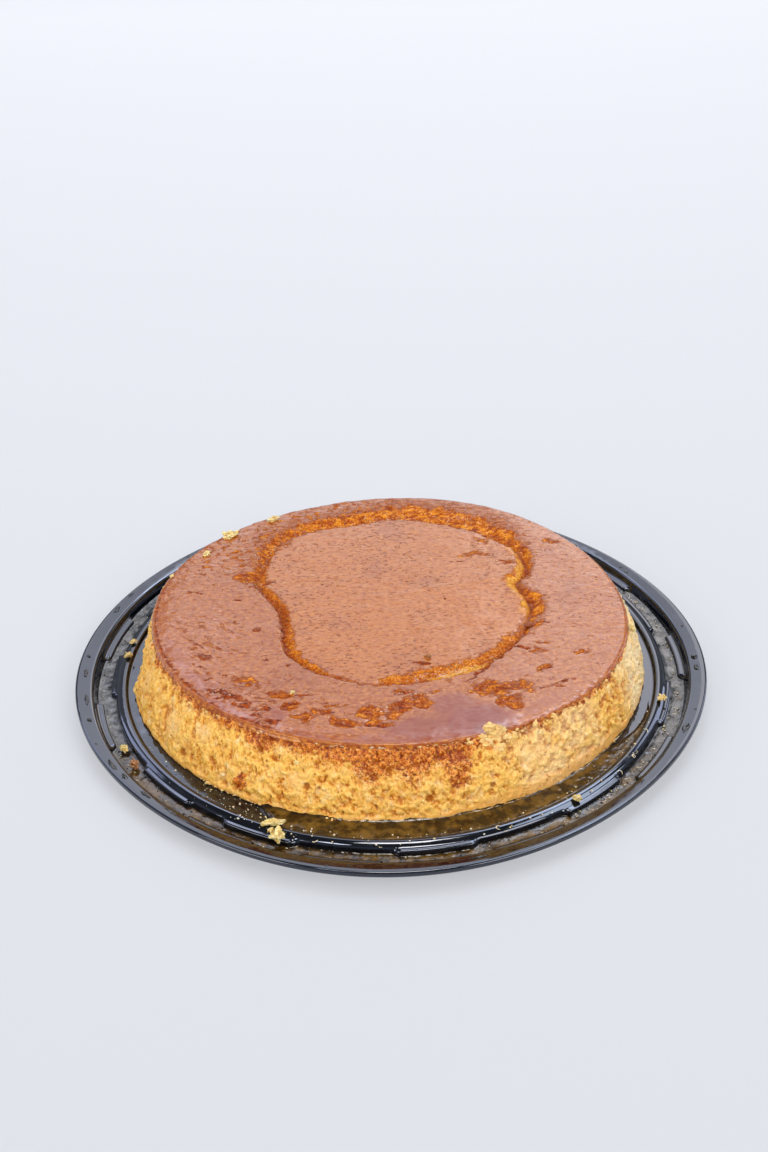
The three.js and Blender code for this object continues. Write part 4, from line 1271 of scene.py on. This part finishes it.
# painted highlight and shade: paler gold on the lumps, deeper orange in the hollows
colour = painted(shaded_relief.remap(0.0, 0.26).blend("#b8660e", "#e0962c"), [
    (shaded_relief.remap(0.24, 0.62), "#f6bf58"),
    (blotch.remap(0.50, 0.68, 0.0, 0.7), "#fad284"),
    (blotch.remap(0.60, 0.74, 0.0, 0.7), "#fde6b4"),
    (fleck.remap(0.60, 0.72, 0.0, 0.55), "#c9781a"),
    (grainy.remap(0.55, 0.66, 0.0, 0.55), "#ffdb8c"),
    (grainy.remap(0.44, 0.34, 0.0, 0.42), "#b46c12"),
    (custard.stored("pale").remap(0.0, 1.0, 0.0, 0.72), "#ffecc0"),
    (custard.stored("smooth").remap(0.0, 1.0, 0.0, 0.55), "#f2c07a"),
    (custard.stored("foot").remap(0.2, 1.0, 0.0, 0.6), "#e8a450"),
    (run.remap(0.10, 0.7, 0.0, 0.92), shaded_relief.remap(0.15, 0.65).blend("#a23c02", "#d6740c")),
    (run.remap(0.85, 1.2, 0.0, 0.8), "#8c3006"),
    (dotted * 0.85, "#7c3008"),
    # painted shade in the pinholes and pits
    (holes.remap(0.1, 0.9, 0.0, 0.78), "#a25408"),
])
custard.wear(
    Base_Color=colour, IOR=1.42, Specular_IOR_Level=0.4,
    Roughness=blotch.remap(0.4, 0.65, 0.26, 0.5).most(holes.remap(0.1, 0.8, 0.0, 0.9)),
    Normal=(fleck * 0.75 - pinhole * 0.16).bump(1.0, MM),
    Subsurface_Weight=0.12, Subsurface_Radius=(0.0014, 0.0006, 0.0002), Subsurface_Scale=1.0,
)

body = new_piece("custard_body", body_points, ring_faces(body_counts), custard)
give(body, **{name: np.pad(mark, hidden) for name, mark in side_marks.items()})
faces_outward(body)
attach(body, "root")
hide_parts("flan")

# %% [markdown]
# ## Thin syrup
# Thinned caramel ran off the custard: round the channel, and into a pool on the platform in
# front. Over black plastic it looks nearly black itself and mirrors the golden side above it, and
# round the sides a thin grey foam floats on it. A liquid creeps up whatever it touches, so its
# surface bends up at every wall. Without that small meniscus it would read as a sheet of plastic.

# %% Thin dark syrup
syrup = Finish("thin dark caramel syrup")
cloud = syrup.noise(5, 5.0, 0.6)
deep = cloud.remap(0.42, 0.62).blend("#2f1e07", "#6e501c")
foamy = cloud.remap(0.36, 0.60).blend("#1a1b1e", "#7c7e82")
syrup.wear(
    Base_Color=syrup.stored("depth").blend(syrup.stored("foam").blend("#15120e", foamy), deep),
    Roughness=cloud.remap(0.45, 0.7, 0.05, 0.16), IOR=1.45,
    Normal=(syrup.noise(1.4) * 0.10 + cloud * 0.22).bump(0.8, MM),
)
print("finish:", syrup.material.name)

# %% Syrup round the channel
CHANNEL_LEVEL = 4.3
CREEP = 0.75


def wall_at(height, low, high):
    """Radius of a straight wall between two points of the section, at a height."""
    return mixed_by((height - low[1]) / (high[1] - low[1]), low[0], high[0])


def tube_faces(rows, count, full_turn):
    """Faces that join rows of corners into a tube: a full turn, or an arc with two end caps."""
    faces = []
    for row in range(rows):
        low, high = row * count, (row + 1) % rows * count
        steps = [(i, (i + 1) % count) for i in range(count if full_turn else count - 1)]
        faces += [(low + i, high + i, high + j, low + j) for i, j in steps]
    if not full_turn:
        starts = range(0, rows * count, count)
        faces += [list(starts)[::-1], [start + count - 1 for start in starts]]
    return faces


channel_degrees = round_the_tray[:-1]
channel_facing = facing(np.radians(channel_degrees))
inner_share, outer_share = (lug_share(channel_degrees, first) for first in (0, OUTER_LUG_TURN))
inner_edge = mixed_by(inner_share, wall_at(CHANNEL_LEVEL, CHANNEL_INNER, RIDGE_OUTER), 136.74) - 0.3
outer_edge = mixed_by(outer_share, wall_at(CHANNEL_LEVEL, CHANNEL_OUTER, RIM_INNER), 140.38) + 0.3
brown_share = 0.12 + 0.88 * toward(channel_degrees, 268, 46, 74)
rows, depths = [], []
for share in (0, 0.05, 0.1, 0.17, 0.27, 0.4, 0.6, 0.73, 0.83, 0.9, 0.95, 1.0):
    reach = mixed_by(share, inner_edge, outer_edge)
    to_wall = np.minimum(reach - inner_edge, outer_edge - reach)
    flat = channel_facing * reach[:, None]
    level = CHANNEL_LEVEL + 0.5 * np.exp(-to_wall / CREEP)
    rows.append(at_height(flat, level + 0.20 * wavy(at_height(flat, 0.0), 3.6, 400, 2)))
    depths.append(ramp(to_wall, 0.2, 1.6) * brown_share)
for radius in (141.0, 136.8):
    rows.append(at_height(channel_facing * radius, 1.1))
    depths.append(brown_share)
faces = tube_faces(len(rows), TRAY_STEPS, True)
syrup_ring = new_piece("syrup_in_channel", np.concatenate(rows), faces, syrup)
give(syrup_ring, depth=np.concatenate(depths), foam=np.tile(1 - brown_share, len(rows)))
faces_outward(syrup_ring)

# %% The pool in front of the custard
POOL_START = 236.0
POOL_LEAVES_FOOT = 316.0
POOL_END = 344.0
POOL_ROWS = 22
POOL_COLUMNS = 420
POOL_LEVEL = 6.75
POOL_RADIUS = 129.0
pool_degrees = np.linspace(POOL_START, POOL_END, POOL_COLUMNS)
pool_turn = np.radians(pool_degrees)
foot = foot_outline(pool_turn)
foot_degrees = np.degrees(np.arctan2(foot[:, 1], foot[:, 0])) % 360
custard_reach = np.interp(pool_degrees, foot_degrees, np.linalg.norm(foot, axis=1))
swell = wavy(at_height(facing(pool_turn) * 126, 0.0), 8, 410, 3)
leaving = ramp(pool_degrees, POOL_LEAVES_FOOT, POOL_END - 4)
starting = 1 - ramp(pool_degrees, POOL_START, POOL_START + 14)
inner_pool = mixed_by(leaving, custard_reach - 1.6, 127.0) + 0.5 * swell * (leaving > 0.02)
outer_pool = mixed_by(starting, POOL_RADIUS, custard_reach + 0.3)
outer_pool = mixed_by(ramp(pool_degrees, POOL_END - 5, POOL_END), outer_pool, inner_pool + 0.4)
outer_pool = np.maximum(outer_pool, inner_pool + 0.3)
end = ramp(pool_degrees, POOL_START, POOL_START + 1.5)
end = end * (1 - ramp(pool_degrees, POOL_END - 1.5, POOL_END))
rows, depths = [], []
for share in np.linspace(0, 1, POOL_ROWS):
    reach = mixed_by(share, inner_pool, outer_pool)
    flat = facing(pool_turn) * reach[:, None]
    from_custard = np.maximum(reach - custard_reach + 0.4, 0)
    free = mixed_by(leaving, 1.0, ramp(reach - inner_pool, 0, 1.8))
    free = free * ramp(outer_pool - reach, 0, 8.0 * starting + 0.01) * end
    thick = (POOL_LEVEL - PLATFORM_HEIGHT) * free
    creep_in = 0.65 * np.exp(-from_custard / 0.8) * (1 - leaving) * end
    creep_out = 0.35 * np.exp(-np.maximum(POOL_RADIUS - reach, 0) / 0.7) * (1 - starting) * end
    rippled = 0.10 * wavy(at_height(flat, 0.0), 3.4, 415, 2) * free
    rows.append(at_height(flat, PLATFORM_HEIGHT + 0.03 + thick + creep_in + creep_out + rippled))
    depths.append(ramp(thick, 0.1, 0.9) * ramp(reach - inner_pool, 0.0, 3.0))
for reach in (outer_pool, inner_pool):
    rows.append(at_height(facing(pool_turn) * reach[:, None], PLATFORM_HEIGHT - 0.1))
    depths.append(np.zeros(POOL_COLUMNS))
faces = tube_faces(len(rows), POOL_COLUMNS, False)
pool = new_piece("syrup_pool_in_front", np.concatenate(rows), faces, syrup)
give(pool, depth=np.concatenate(depths))
faces_outward(pool)
for piece, node in ((syrup_ring, "syrup_channel"), (pool, "syrup_pool")):
    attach(piece, "root")
    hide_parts(node)

# %% Pale wet froth and painted glints, drawn as thin tubes
froth_and_glint_finish = Finish("pale wet froth")
cream = froth_and_glint_finish.noise(3.0, 3.0).remap(0.42, 0.6).blend("#b08c50", "#ece2c6")
froth_and_glint_finish.wear(Base_Color=cream, Roughness=0.25, IOR=1.4)
print("finish:", froth_and_glint_finish.material.name)


def thin_tube(path, thickness, sides=6):
    """A closed tube round a path that tapers to its ends: points, faces and a 1 for each point."""
    along = np.gradient(path, axis=0)
    along /= np.linalg.norm(along, axis=1, keepdims=True)
    across = np.cross(along, (0.0, 0.0, 1.0))
    across /= np.linalg.norm(across, axis=1, keepdims=True)
    up = np.cross(across, along)
    angle = (np.arange(sides) / sides * 2 * math.pi)[:, None]
    rings = [path[:1]]
    for at in range(len(path)):
        rings.append(path[at] + thickness[at] * (np.cos(angle) * across[at] + np.sin(angle) * up[at]))
    points = np.concatenate([*rings, path[-1:]])
    return points, ring_faces([1] + [sides] * len(path) + [1]), np.ones(len(points))


def swelling(steps):
    """Thickness along a short thread, from 0 to 1 and thin at its ends."""
    return np.sin(np.linspace(0.5, math.pi - 0.5, steps))


# %% The pool's frothy edge, and pale threads under the hem as painted glints
FROTH_STEPS = 260
HEM_GLINTS = 44
THREAD_STEPS = 7
on_foot = foot_outline(np.radians(np.linspace(284, 331, FROTH_STEPS)))
reach = np.linalg.norm(on_foot, axis=1)
thin_noise = wavy(at_height(on_foot, 1.0), 2.2, 425, 3)
wandering = reach + 0.35 + 0.5 * wavy(at_height(on_foot, 0.0), 9, 420, 3)
path = at_height(on_foot / reach[:, None] * wandering[:, None], 7.05 + 0.25 * thin_noise)
to_end = np.minimum(np.arange(FROTH_STEPS), np.arange(FROTH_STEPS)[::-1])
thick = 0.02 + 0.19 * np.minimum(1, to_end / 20) * np.clip(0.5 + 1.3 * thin_noise, 0.02, 1.2)
froth_and_glint_threads = [thin_tube(path, thick, 8)]
dice = np.random.default_rng(21)
# painted highlight: pale threads where the wet hem shows glints
for _ in range(HEM_GLINTS):
    centre_turn = math.radians(dice.choice([dice.uniform(238, 292), dice.uniform(256, 288)]))
    length = dice.uniform(0.5, 2.6) / TOP_RADIUS
    turns = np.linspace(centre_turn - length / 2, centre_turn + length / 2, THREAD_STEPS)
    reach = top_reach(turns) + 0.34 + dice.uniform(-0.06, 0.12)
    low = dice.choice([34.3, 34.0, 33.7, 33.2]) + dice.uniform(-0.15, 0.15)
    low = low + dice.uniform(-0.1, 0.1, THREAD_STEPS)
    path = at_height(TOP_CENTRE + facing(turns) * reach[:, None], low)
    thick = dice.uniform(0.08, 0.22) * swelling(THREAD_STEPS)
    froth_and_glint_threads.append(thin_tube(path, thick))
print(len(froth_and_glint_threads), "threads of froth at the foot and under the hem")

# %% Pale beads on the top as painted glints
GLINT_STEPS = 5
# middle x, y, half length, half width, slant of each cluster, and how many pale beads it has, as painted
# glints
GLINT_CLUSTERS = [
    (29, -47.4, 13, 2.8, 17, 84), (13, -51.5, 6, 2.0, 6, 18), (47, -37, 4, 2.0, 40, 14), (6, -64, 6, 2, 0, 8),
    (-77, -60, 7, 2.4, -24, 18), (-62, 66, 6, 14, -35, 26), (0, 97, 44, 5, 0, 30), (-4, -75, 8, 3, 20, 10),
    (66, -11, 3, 2, 0, 5), (70, 40, 4, 12, 10, 8), (-66, 34, 8, 3, 0, 12),
]
glint_lines = []
# painted highlight: pale beads where the wet top shows glints
for x, y, half_length, half_width, slant, number in GLINT_CLUSTERS:
    lean = math.radians(slant)
    ahead, aside = facing(np.array([lean, lean + math.pi / 2]))
    for _ in range(number):
        along_by, across_by = dice.normal(0, 0.5 * half_length), dice.normal(0, 0.5 * half_width)
        way = facing(np.array([lean + dice.uniform(-0.7, 0.7)]))[0]
        length = 0.35 + 1.1 * dice.random() ** 2
        middle = np.array([x, y]) + along_by * ahead + across_by * aside
        glint_lines.append(middle + np.linspace(-0.5, 0.5, GLINT_STEPS)[:, None] * length * way)
glint_heights, _ = top_surface(np.concatenate(glint_lines))
for flat, heights in zip(glint_lines, glint_heights.reshape(-1, GLINT_STEPS)):
    thick = dice.uniform(0.07, 0.17) * swelling(GLINT_STEPS)
    froth_and_glint_threads.append(thin_tube(at_height(flat, heights + 0.04), thick))
points, faces, _ = joined(froth_and_glint_threads)
froth_and_glint_piece = new_piece("frothy_edges", points, faces, froth_and_glint_finish)
faces_outward(froth_and_glint_piece)
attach(froth_and_glint_piece, "root")

# %% [markdown]
# ## Crumbs
# Crumbs of custard broke off when it was turned out. Each is a small torn clod: lumpy, longer one
# way, with hollows. A fine ball pushed in and out by noise gives that. The large loose crumbs are
# a core with nine small curls round it. Each is then stretched to its measured length, width and
# height and laid where it rests.

# %% Torn custard crumb
crumb_finish = Finish("torn custard crumb")
fleck = crumb_finish.noise(1.5, 4.0, 0.65)
crumb_colour = fleck.remap(0.35, 0.60).blend("#e4bc5a", "#f8e8ac")
# painted shade: the crumbs are darker in their hollows
crumb_colour = crumb_finish.stored("lump").remap(0.2, 0.65).blend("#ac7a22", crumb_colour)
crumb_finish.wear(
    Base_Color=crumb_finish.stored("toast").blend(crumb_colour, "#96430f"), Roughness=0.38, IOR=1.4,
    Normal=fleck.bump(1.0, 0.4 * MM),
    Subsurface_Weight=0.12, Subsurface_Radius=(0.0016, 0.0008, 0.0003), Subsurface_Scale=1.0,
)
print("finish:", crumb_finish.material.name)


# %% One clod
def clod(seed, size, turn, middle, fineness=5):
    """Points, faces and lumpiness of a torn crumb of this size, in millimetres."""
    points, faces = fine_ball(fineness)
    place = points + np.array([3.7, 1.9, 5.3]) * seed
    torn, _, _ = cell_noise(place, 0.72, seed + 5)
    small, _, _ = cell_noise(place, 0.3, seed + 9)
    reach = 1 + 0.50 * wavy(place, 1.1, seed, 2) + 0.75 * (0.5 - torn) + 0.42 * (0.5 - small)
    reach += 0.10 * wavy(place, 0.22, seed + 13, 2)
    points = spun(stretched_to(points * reach[:, None], size), turn) + np.array(middle)
    return points, faces, np.clip(0.6 * (1.1 - torn) + 0.4 * (1.1 - small), 0, 1)


print("a coarse clod has", len(clod(1, (1, 1, 1), 0, (0, 0, 0), 3)[0]), "corners")

# %% Loose crumbs on the tray
RIDGE_TOP = 8.1
# name, x and y, size, turn, what it rests on, and how toasted it is
LOOSE_CRUMBS = [
    ("crumb_front_long", (-52, -119.2), (11.3, 4.5, 3.2), 4, RIDGE_TOP, 0.0),
    ("crumb_front_fat", (-50.2, -127.4), (7.6, 8, 4.8), 8, RIDGE_TOP, 0.0),
    ("crumb_ridge_back", (-129.6, 21.4), (4.4, 3.4, 2.4), 15, RIDGE_TOP, 0.1),
    ("crumb_ridge_left", (-130.4, 9.4), (4.4, 4.4, 2.8), -20, RIDGE_TOP, 0.1),
    ("crumb_pale", (-123.7, -60.9), (4, 5.4, 3.6), 26, CHANNEL_LEVEL, 0.0),
    ("crumb_brown", (-117.3, -73.2), (4.6, 6, 4.2), 32, CHANNEL_LEVEL, 0.8),
    ("crumb_ridge_right", (127.6, -38.0), (4.8, 5, 3), 12, RIDGE_TOP, 0.1),
    ("crumb_ridge_front", (79.0, -107.6), (4.2, 4.0, 3.0), 30, RIDGE_TOP - 0.7, 0.1),
]
dice = np.random.default_rng(31)
for seed, (name, (x, y), size, turn, rests_on, toast) in enumerate(LOOSE_CRUMBS, start=500):
    core = np.array(size) * (0.80, 0.74, 0.80)
    curls = [clod(seed, core, 0, (0, 0, 0))]
    for curl in range(9):
        way = dice.normal(size=3)
        way /= np.linalg.norm(way)
        small = max(size) * dice.uniform(0.20, 0.42)
        small = small * np.array([1, dice.uniform(0.4, 0.8), dice.uniform(0.4, 0.8)])
        curls.append(clod(seed * 10 + curl, small, dice.uniform(0, 360), way * core * 0.42, 3))
    points, faces, lumpy = joined(curls)
    points = spun(stretched_to(points, size), turn) + (x, y, rests_on + 0.15 + size[2] / 2)
    crumb_piece = new_piece(name + "_clod", points, faces, crumb_finish)
    give(crumb_piece, lump=lumpy, toast=toast)
    faces_outward(crumb_piece)
    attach(crumb_piece, "root")
    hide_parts(name)

# %% Crumbs and flakes stuck to the top edge
# x and y, size, turn, height of the middle, and how toasted it is
STUCK_CRUMBS = [
    ((-82.6, 80.2), (10, 6.5, 5), 30, 36.6, 0.0), ((-60.6, 96.0), (8.5, 4.5, 3.6), 25, 36.4, 0.1),
    ((-93.6, 60.8), (4.6, 3.4, 3.2), 60, 36.2, 0.0), ((115.4, -14.6), (3.0, 6, 4.2), 5, 34.8, 0.0),
    ((-63.4, -10.2), (5, 3.8, 1.8), 10, 35.9, 1.0), ((17.4, -36.6), (3.8, 3.2, 3.2), 20, 36.0, 0.8),
    ((-44.6, -61.6), (3.2, 2.6, 2.0), 40, 35.9, 0.1), ((-109.6, 41.7), (3.4, 2.6, 2.2), 60, 35.2, 0.1),
    ((-41.5, -102.6), (2.6, 2.2, 2.4), 0, 28.6, 0.0), ((66.7, -10.6), (4.6, 4.0, 2.2), 30, 35.0, 1.0),
]
stuck, toasts = [], []
for seed, (at, size, turn, height, toast) in enumerate(STUCK_CRUMBS, start=560):
    stuck.append(clod(seed, size, turn, (*at, height)))
    toasts.append(np.full(len(stuck[-1][0]), toast))
points, faces, lumpy = joined(stuck)
stuck_piece = new_piece("crumbs_stuck_to_top", points, faces, crumb_finish)
give(stuck_piece, lump=lumpy, toast=np.concatenate(toasts))

# %% Lumps along the torn edge, and small ones round the foot
# direction in degrees, share of the way up the side, and size in millimetres
TORN_LUMPS = [
    (293.0, 1.12, 5.4), (294.2, 1.05, 7.6), (292.2, 0.90, 7.0), (294.4, 0.95, 8.0),
    (296.6, 0.89, 6.6), (294.2, 0.82, 6.0), (291.2, 0.99, 4.0), (293.2, 1.02, 4.2),
    (295.8, 1.00, 3.2), (298.4, 0.93, 3.0), (304, 0.96, 3.6), (309, 0.97, 3.2),
]
dice = np.random.default_rng(11)
for _ in range(22):
    TORN_LUMPS.append((dice.uniform(286, 352), dice.uniform(0.93, 1.0), dice.uniform(1.2, 2.6)))
for _ in range(14):
    TORN_LUMPS.append((dice.uniform(180, 240), dice.uniform(0.88, 0.95), dice.uniform(0.9, 1.8)))
foot_middles = [dice.uniform(212, 340) for _ in range(12)] + [dice.uniform(226, 252) for _ in range(8)]
FOOT_LUMPS = [
    (foot_middles[k % 20] + dice.normal(0, 1.2), 0.6 + 1.6 * dice.random() ** 3) for k in range(80)
]
torn_parts = []
for seed, (direction, share, size) in enumerate(TORN_LUMPS, start=700):
    turn = np.array([math.radians(direction)])
    middle = side_at(turn, np.array([min(share, 1.0)]))[0]
    middle[:2] -= 0.10 * size * facing(turn)[0]
    middle[2] += max(share - 1, 0) * 30
    shape = (size * dice.uniform(0.9, 1.4), size * dice.uniform(0.6, 0.8), size * dice.uniform(0.7, 1.0))
    spin = direction + 90 + dice.uniform(-30, 30)
    torn_parts.append(clod(seed, shape, spin, middle, 4 if size > 2.8 else 3))
for seed, (direction, size) in enumerate(FOOT_LUMPS, start=760):
    turn = np.array([math.radians(direction)])
    flat = foot_outline(turn)[0] + facing(turn)[0] * dice.uniform(-0.7, 0.3)
    middle = (*flat, PLATFORM_HEIGHT + 0.4 + 0.3 * size)
    shape = (size * dice.uniform(0.8, 1.7), size * 0.7, size * dice.uniform(0.5, 0.9))
    torn_parts.append(clod(seed, shape, dice.uniform(0, 360), middle, 3))
points, faces, lumpy = joined(torn_parts)
torn_piece = new_piece("lumps_on_torn_side", points, faces, custard)
give(torn_piece, lump=lumpy, pale=0.35, stain=0.0, smooth=0.0, pit=0.0, foot=0.0)
for piece in (stuck_piece, torn_piece):
    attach(piece, "root")
    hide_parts("flan")

# %% Drops of syrup on the rim
# direction in degrees, radius, length along the rim and width across it in millimetres
RIM_DROPS = [
    (155, 150.2, 5.0, 1.7), (160.5, 150.0, 6.2, 1.9), (177, 150.2, 2.2, 2.0), (182.5, 149.4, 6.4, 2.0),
    (191, 148.2, 8.0, 2.0), (197.5, 148.6, 2.6, 2.2), (212, 148.8, 8.6, 2.2), (216, 148.0, 4.4, 2.8),
    (222.5, 147.8, 7.4, 2.6), (229, 147.2, 9.0, 2.2), (32.3, 148.4, 2.2, 1.6), (30.0, 148.0, 4.2, 1.6),
    (357.5, 149.2, 3.2, 3.0), (354.2, 149.0, 4.4, 2.4), (335, 148.4, 8.2, 3.0), (317, 147.0, 7.2, 2.2),
    (341, 149.6, 1.6, 1.4), (8, 149.4, 1.5, 1.2), (205, 149.6, 1.5, 1.2), (99, 148.8, 3.4, 1.8),
    (73, 148.4, 6.0, 1.8), (56, 149.6, 1.8, 1.4), (137, 149.4, 4.6, 1.8), (259, 150.6, 1.3, 1.2),
    (46, 147.2, 7.5, 1.8), (262.5, 149.2, 1.4, 1.1), (283, 148.6, 8.0, 1.4),
]
drops = []
for seed, (direction, radius, long, wide) in enumerate(RIM_DROPS, start=900):
    points, faces = fine_ball(4)
    points *= 1 + 0.38 * wavy(points * (1, 1, 0) + seed * 3.1, 0.9, seed, 2)[:, None]
    points[:, 2] *= np.where(points[:, 2] > 0, 0.22 * wide, 0.12)
    points[:, :2] *= (wide / 2, long / 2)
    on_rim = mixed_by((radius - RIM_INNER[0]) / (RIM_OUTER[0] - RIM_INNER[0]), RIM_INNER[1], RIM_OUTER[1])
    middle = (*(radius * facing(np.radians([direction]))[0]), on_rim + 0.02)
    drops.append((spun(points, direction) + middle, faces, np.zeros(len(points))))
points, faces, depth = joined(drops)
drops_piece = new_piece("syrup_drops_on_rim", points, faces, syrup)
give(drops_piece, depth=depth)
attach(drops_piece, "root")

# %% [markdown]
# ## Fine crumbs, threads and bubbles
# The tray is strewn with pale specks of custard, curled threads of dried froth, and bubbles in
# the channel. All repeat one small shape over a strip of surface, which is what Geometry Nodes
# does best: scatter points on the strip with a fixed seed, set the shape on each at a random size
# and turn, and make it real.

# %% The scattering tree
scatter, given = new_tree("scatter_on_strip", "Pieces", {
    "Strip": "Object", "Shape": "Object", "How many per square metre": "Float", "Seed": "Int",
    "Smallest": "Float", "Largest": "Float", "Finish": "Material",
})
strip, shape = (
    result(scatter, "GeometryNodeObjectInfo", {"Object": given[label]}, "Geometry")
    for label in ("Strip", "Shape")
)
dots = result(scatter, "GeometryNodeDistributePointsOnFaces", {
    "Mesh": strip, "Density": given["How many per square metre"], "Seed": given["Seed"],
}, "Points")
chance = {2: 0.0, 3: 1.0, "Seed": given["Seed"]}
chance = result(scatter, "FunctionNodeRandomValue", chance, 1, data_type="FLOAT")
size = chance.math("POWER", 2.5).remap(0.0, 1.0, given["Smallest"], given["Largest"])
turned = {0: (0, 0, 0), 1: (0.5, 0.5, 6.28), "Seed": given["Seed"]}
turned = result(scatter, "FunctionNodeRandomValue", turned, data_type="FLOAT_VECTOR")
copies = result(scatter, "GeometryNodeInstanceOnPoints", {
    "Points": dots, "Instance": shape, "Rotation": turned, "Scale": size,
})
end_tree(scatter, copies, given["Finish"])
print(len(scatter.nodes), "nodes scatter a shape over a strip")


# %% Strips and small shapes
STRIP_STEPS = 60


def arc_strip(name, inner, outer, height, start, end):
    """A flat strip of the tray between two radii and two directions."""
    turn = np.radians(np.linspace(start, end, STRIP_STEPS))
    rows = [at_height(facing(turn) * radius, height) for radius in (inner, outer)]
    faces = [(i, STRIP_STEPS + i, STRIP_STEPS + i + 1, i + 1) for i in range(STRIP_STEPS - 1)]
    return new_piece(name, np.concatenate(rows), faces, syrup)


def bent_thread():
    """Points and faces of a curled thread of dried froth, about a millimetre across."""
    turn = np.linspace(0, 3.6, 12)
    path = at_height(0.5 * facing(turn), 0.1 * turn)
    around = (np.arange(6) / 6 * 2 * math.pi)[:, None]
    rings = [path[:1]]
    for step, out in enumerate(at_height(facing(turn), 0.0)):
        thick = 0.085 * math.sin(math.pi * (step + 1.2) / 13.4)
        rings.append(path[step] + thick * (np.cos(around) * out + np.sin(around) * (0, 0, 1)))
    return np.concatenate([*rings, path[-1:]]), ring_faces([1] + [6] * 12 + [1])


pale_speck = Finish("pale wet custard speck")
cream = pale_speck.noise(5).remap(0.4, 0.6).blend("#dcc48e", "#f2ecda")
pale_speck.wear(Base_Color=cream, Roughness=0.35, IOR=1.4)

SPECK_FLATNESS = 0.55
points, faces, lumpy = clod(600, (1, 0.7, SPECK_FLATNESS), 0, (0, 0, SPECK_FLATNESS * 0.3), 3)
speck = new_piece("speck", points, faces, syrup)
give(speck, lump=lumpy, toast=0.0, depth=0.2)
points, faces = fine_ball(2, 0.5)
bead = new_piece("bead", points * (1, 1, 0.5), faces, syrup)
give(bead, lump=1.0, toast=0.0, depth=0.2)
thread = new_piece("thread", *bent_thread(), syrup)
give(thread, lump=1.0, toast=0.0, depth=0.0)
faces_outward(thread)

# %% Strewing them over the tray
# name, shape, inner and outer radius, height, start and end, how many per square metre, sizes
SCATTERED = [
    ("specks_on_ridge", speck, 129.9, 134.2, 8.15, 228, 345, 34000, 0.25, 1.5),
    ("specks_on_left_ridge", speck, 129.6, 134.2, 8.1, 150, 228, 18000, 0.25, 1.0),
    ("specks_in_channel", speck, 137.0, 141.9, 4.45, 300, 390, 150000, 0.2, 1.3),
    ("specks_in_front_channel", speck, 137.2, 141.6, 4.45, 235, 300, 70000, 0.25, 1.5),
    ("specks_in_left_channel", speck, 137.2, 141.6, 4.45, 120, 235, 110000, 0.2, 0.9),
    ("specks_at_foot", speck, 125.8, 128.8, 6.9, 205, 340, 100000, 0.25, 1.4),
    ("specks_by_front_crumbs", speck, 118.5, 128.8, 6.0, 226, 256, 150000, 0.35, 1.7),
    ("specks_on_front_left_ridge", speck, 129.9, 134.2, 8.2, 238, 252, 130000, 0.35, 1.8),
    ("threads_on_ridge", thread, 130.2, 135.6, 8.2, 236, 345, 9000, 1.2, 3.2),
    ("threads_in_channel", thread, 137.0, 142.0, 4.7, 290, 385, 16000, 1.0, 2.8),
    ("bubbles_in_channel", bead, 136.9, 142.2, 4.4, 0, 360, 70000, 0.35, 1.3),
]
for seed, (name, shape, *strip_size, density, small, large) in enumerate(SCATTERED, start=20):
    strip = arc_strip(name + "_strip", *strip_size)
    finish, slot = (syrup, "syrup") if shape is bead else (pale_speck, "crumb")
    strewn = run_tree(name, scatter, {
        "Strip": strip, "Shape": shape, "How many per square metre": float(density), "Seed": seed,
        "Smallest": float(small), "Largest": float(large), "Finish": finish.material,
    })
    bpy.data.objects.remove(strip)
    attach(strewn, "root")
for shape in (speck, bead, thread):
    bpy.data.objects.remove(shape)
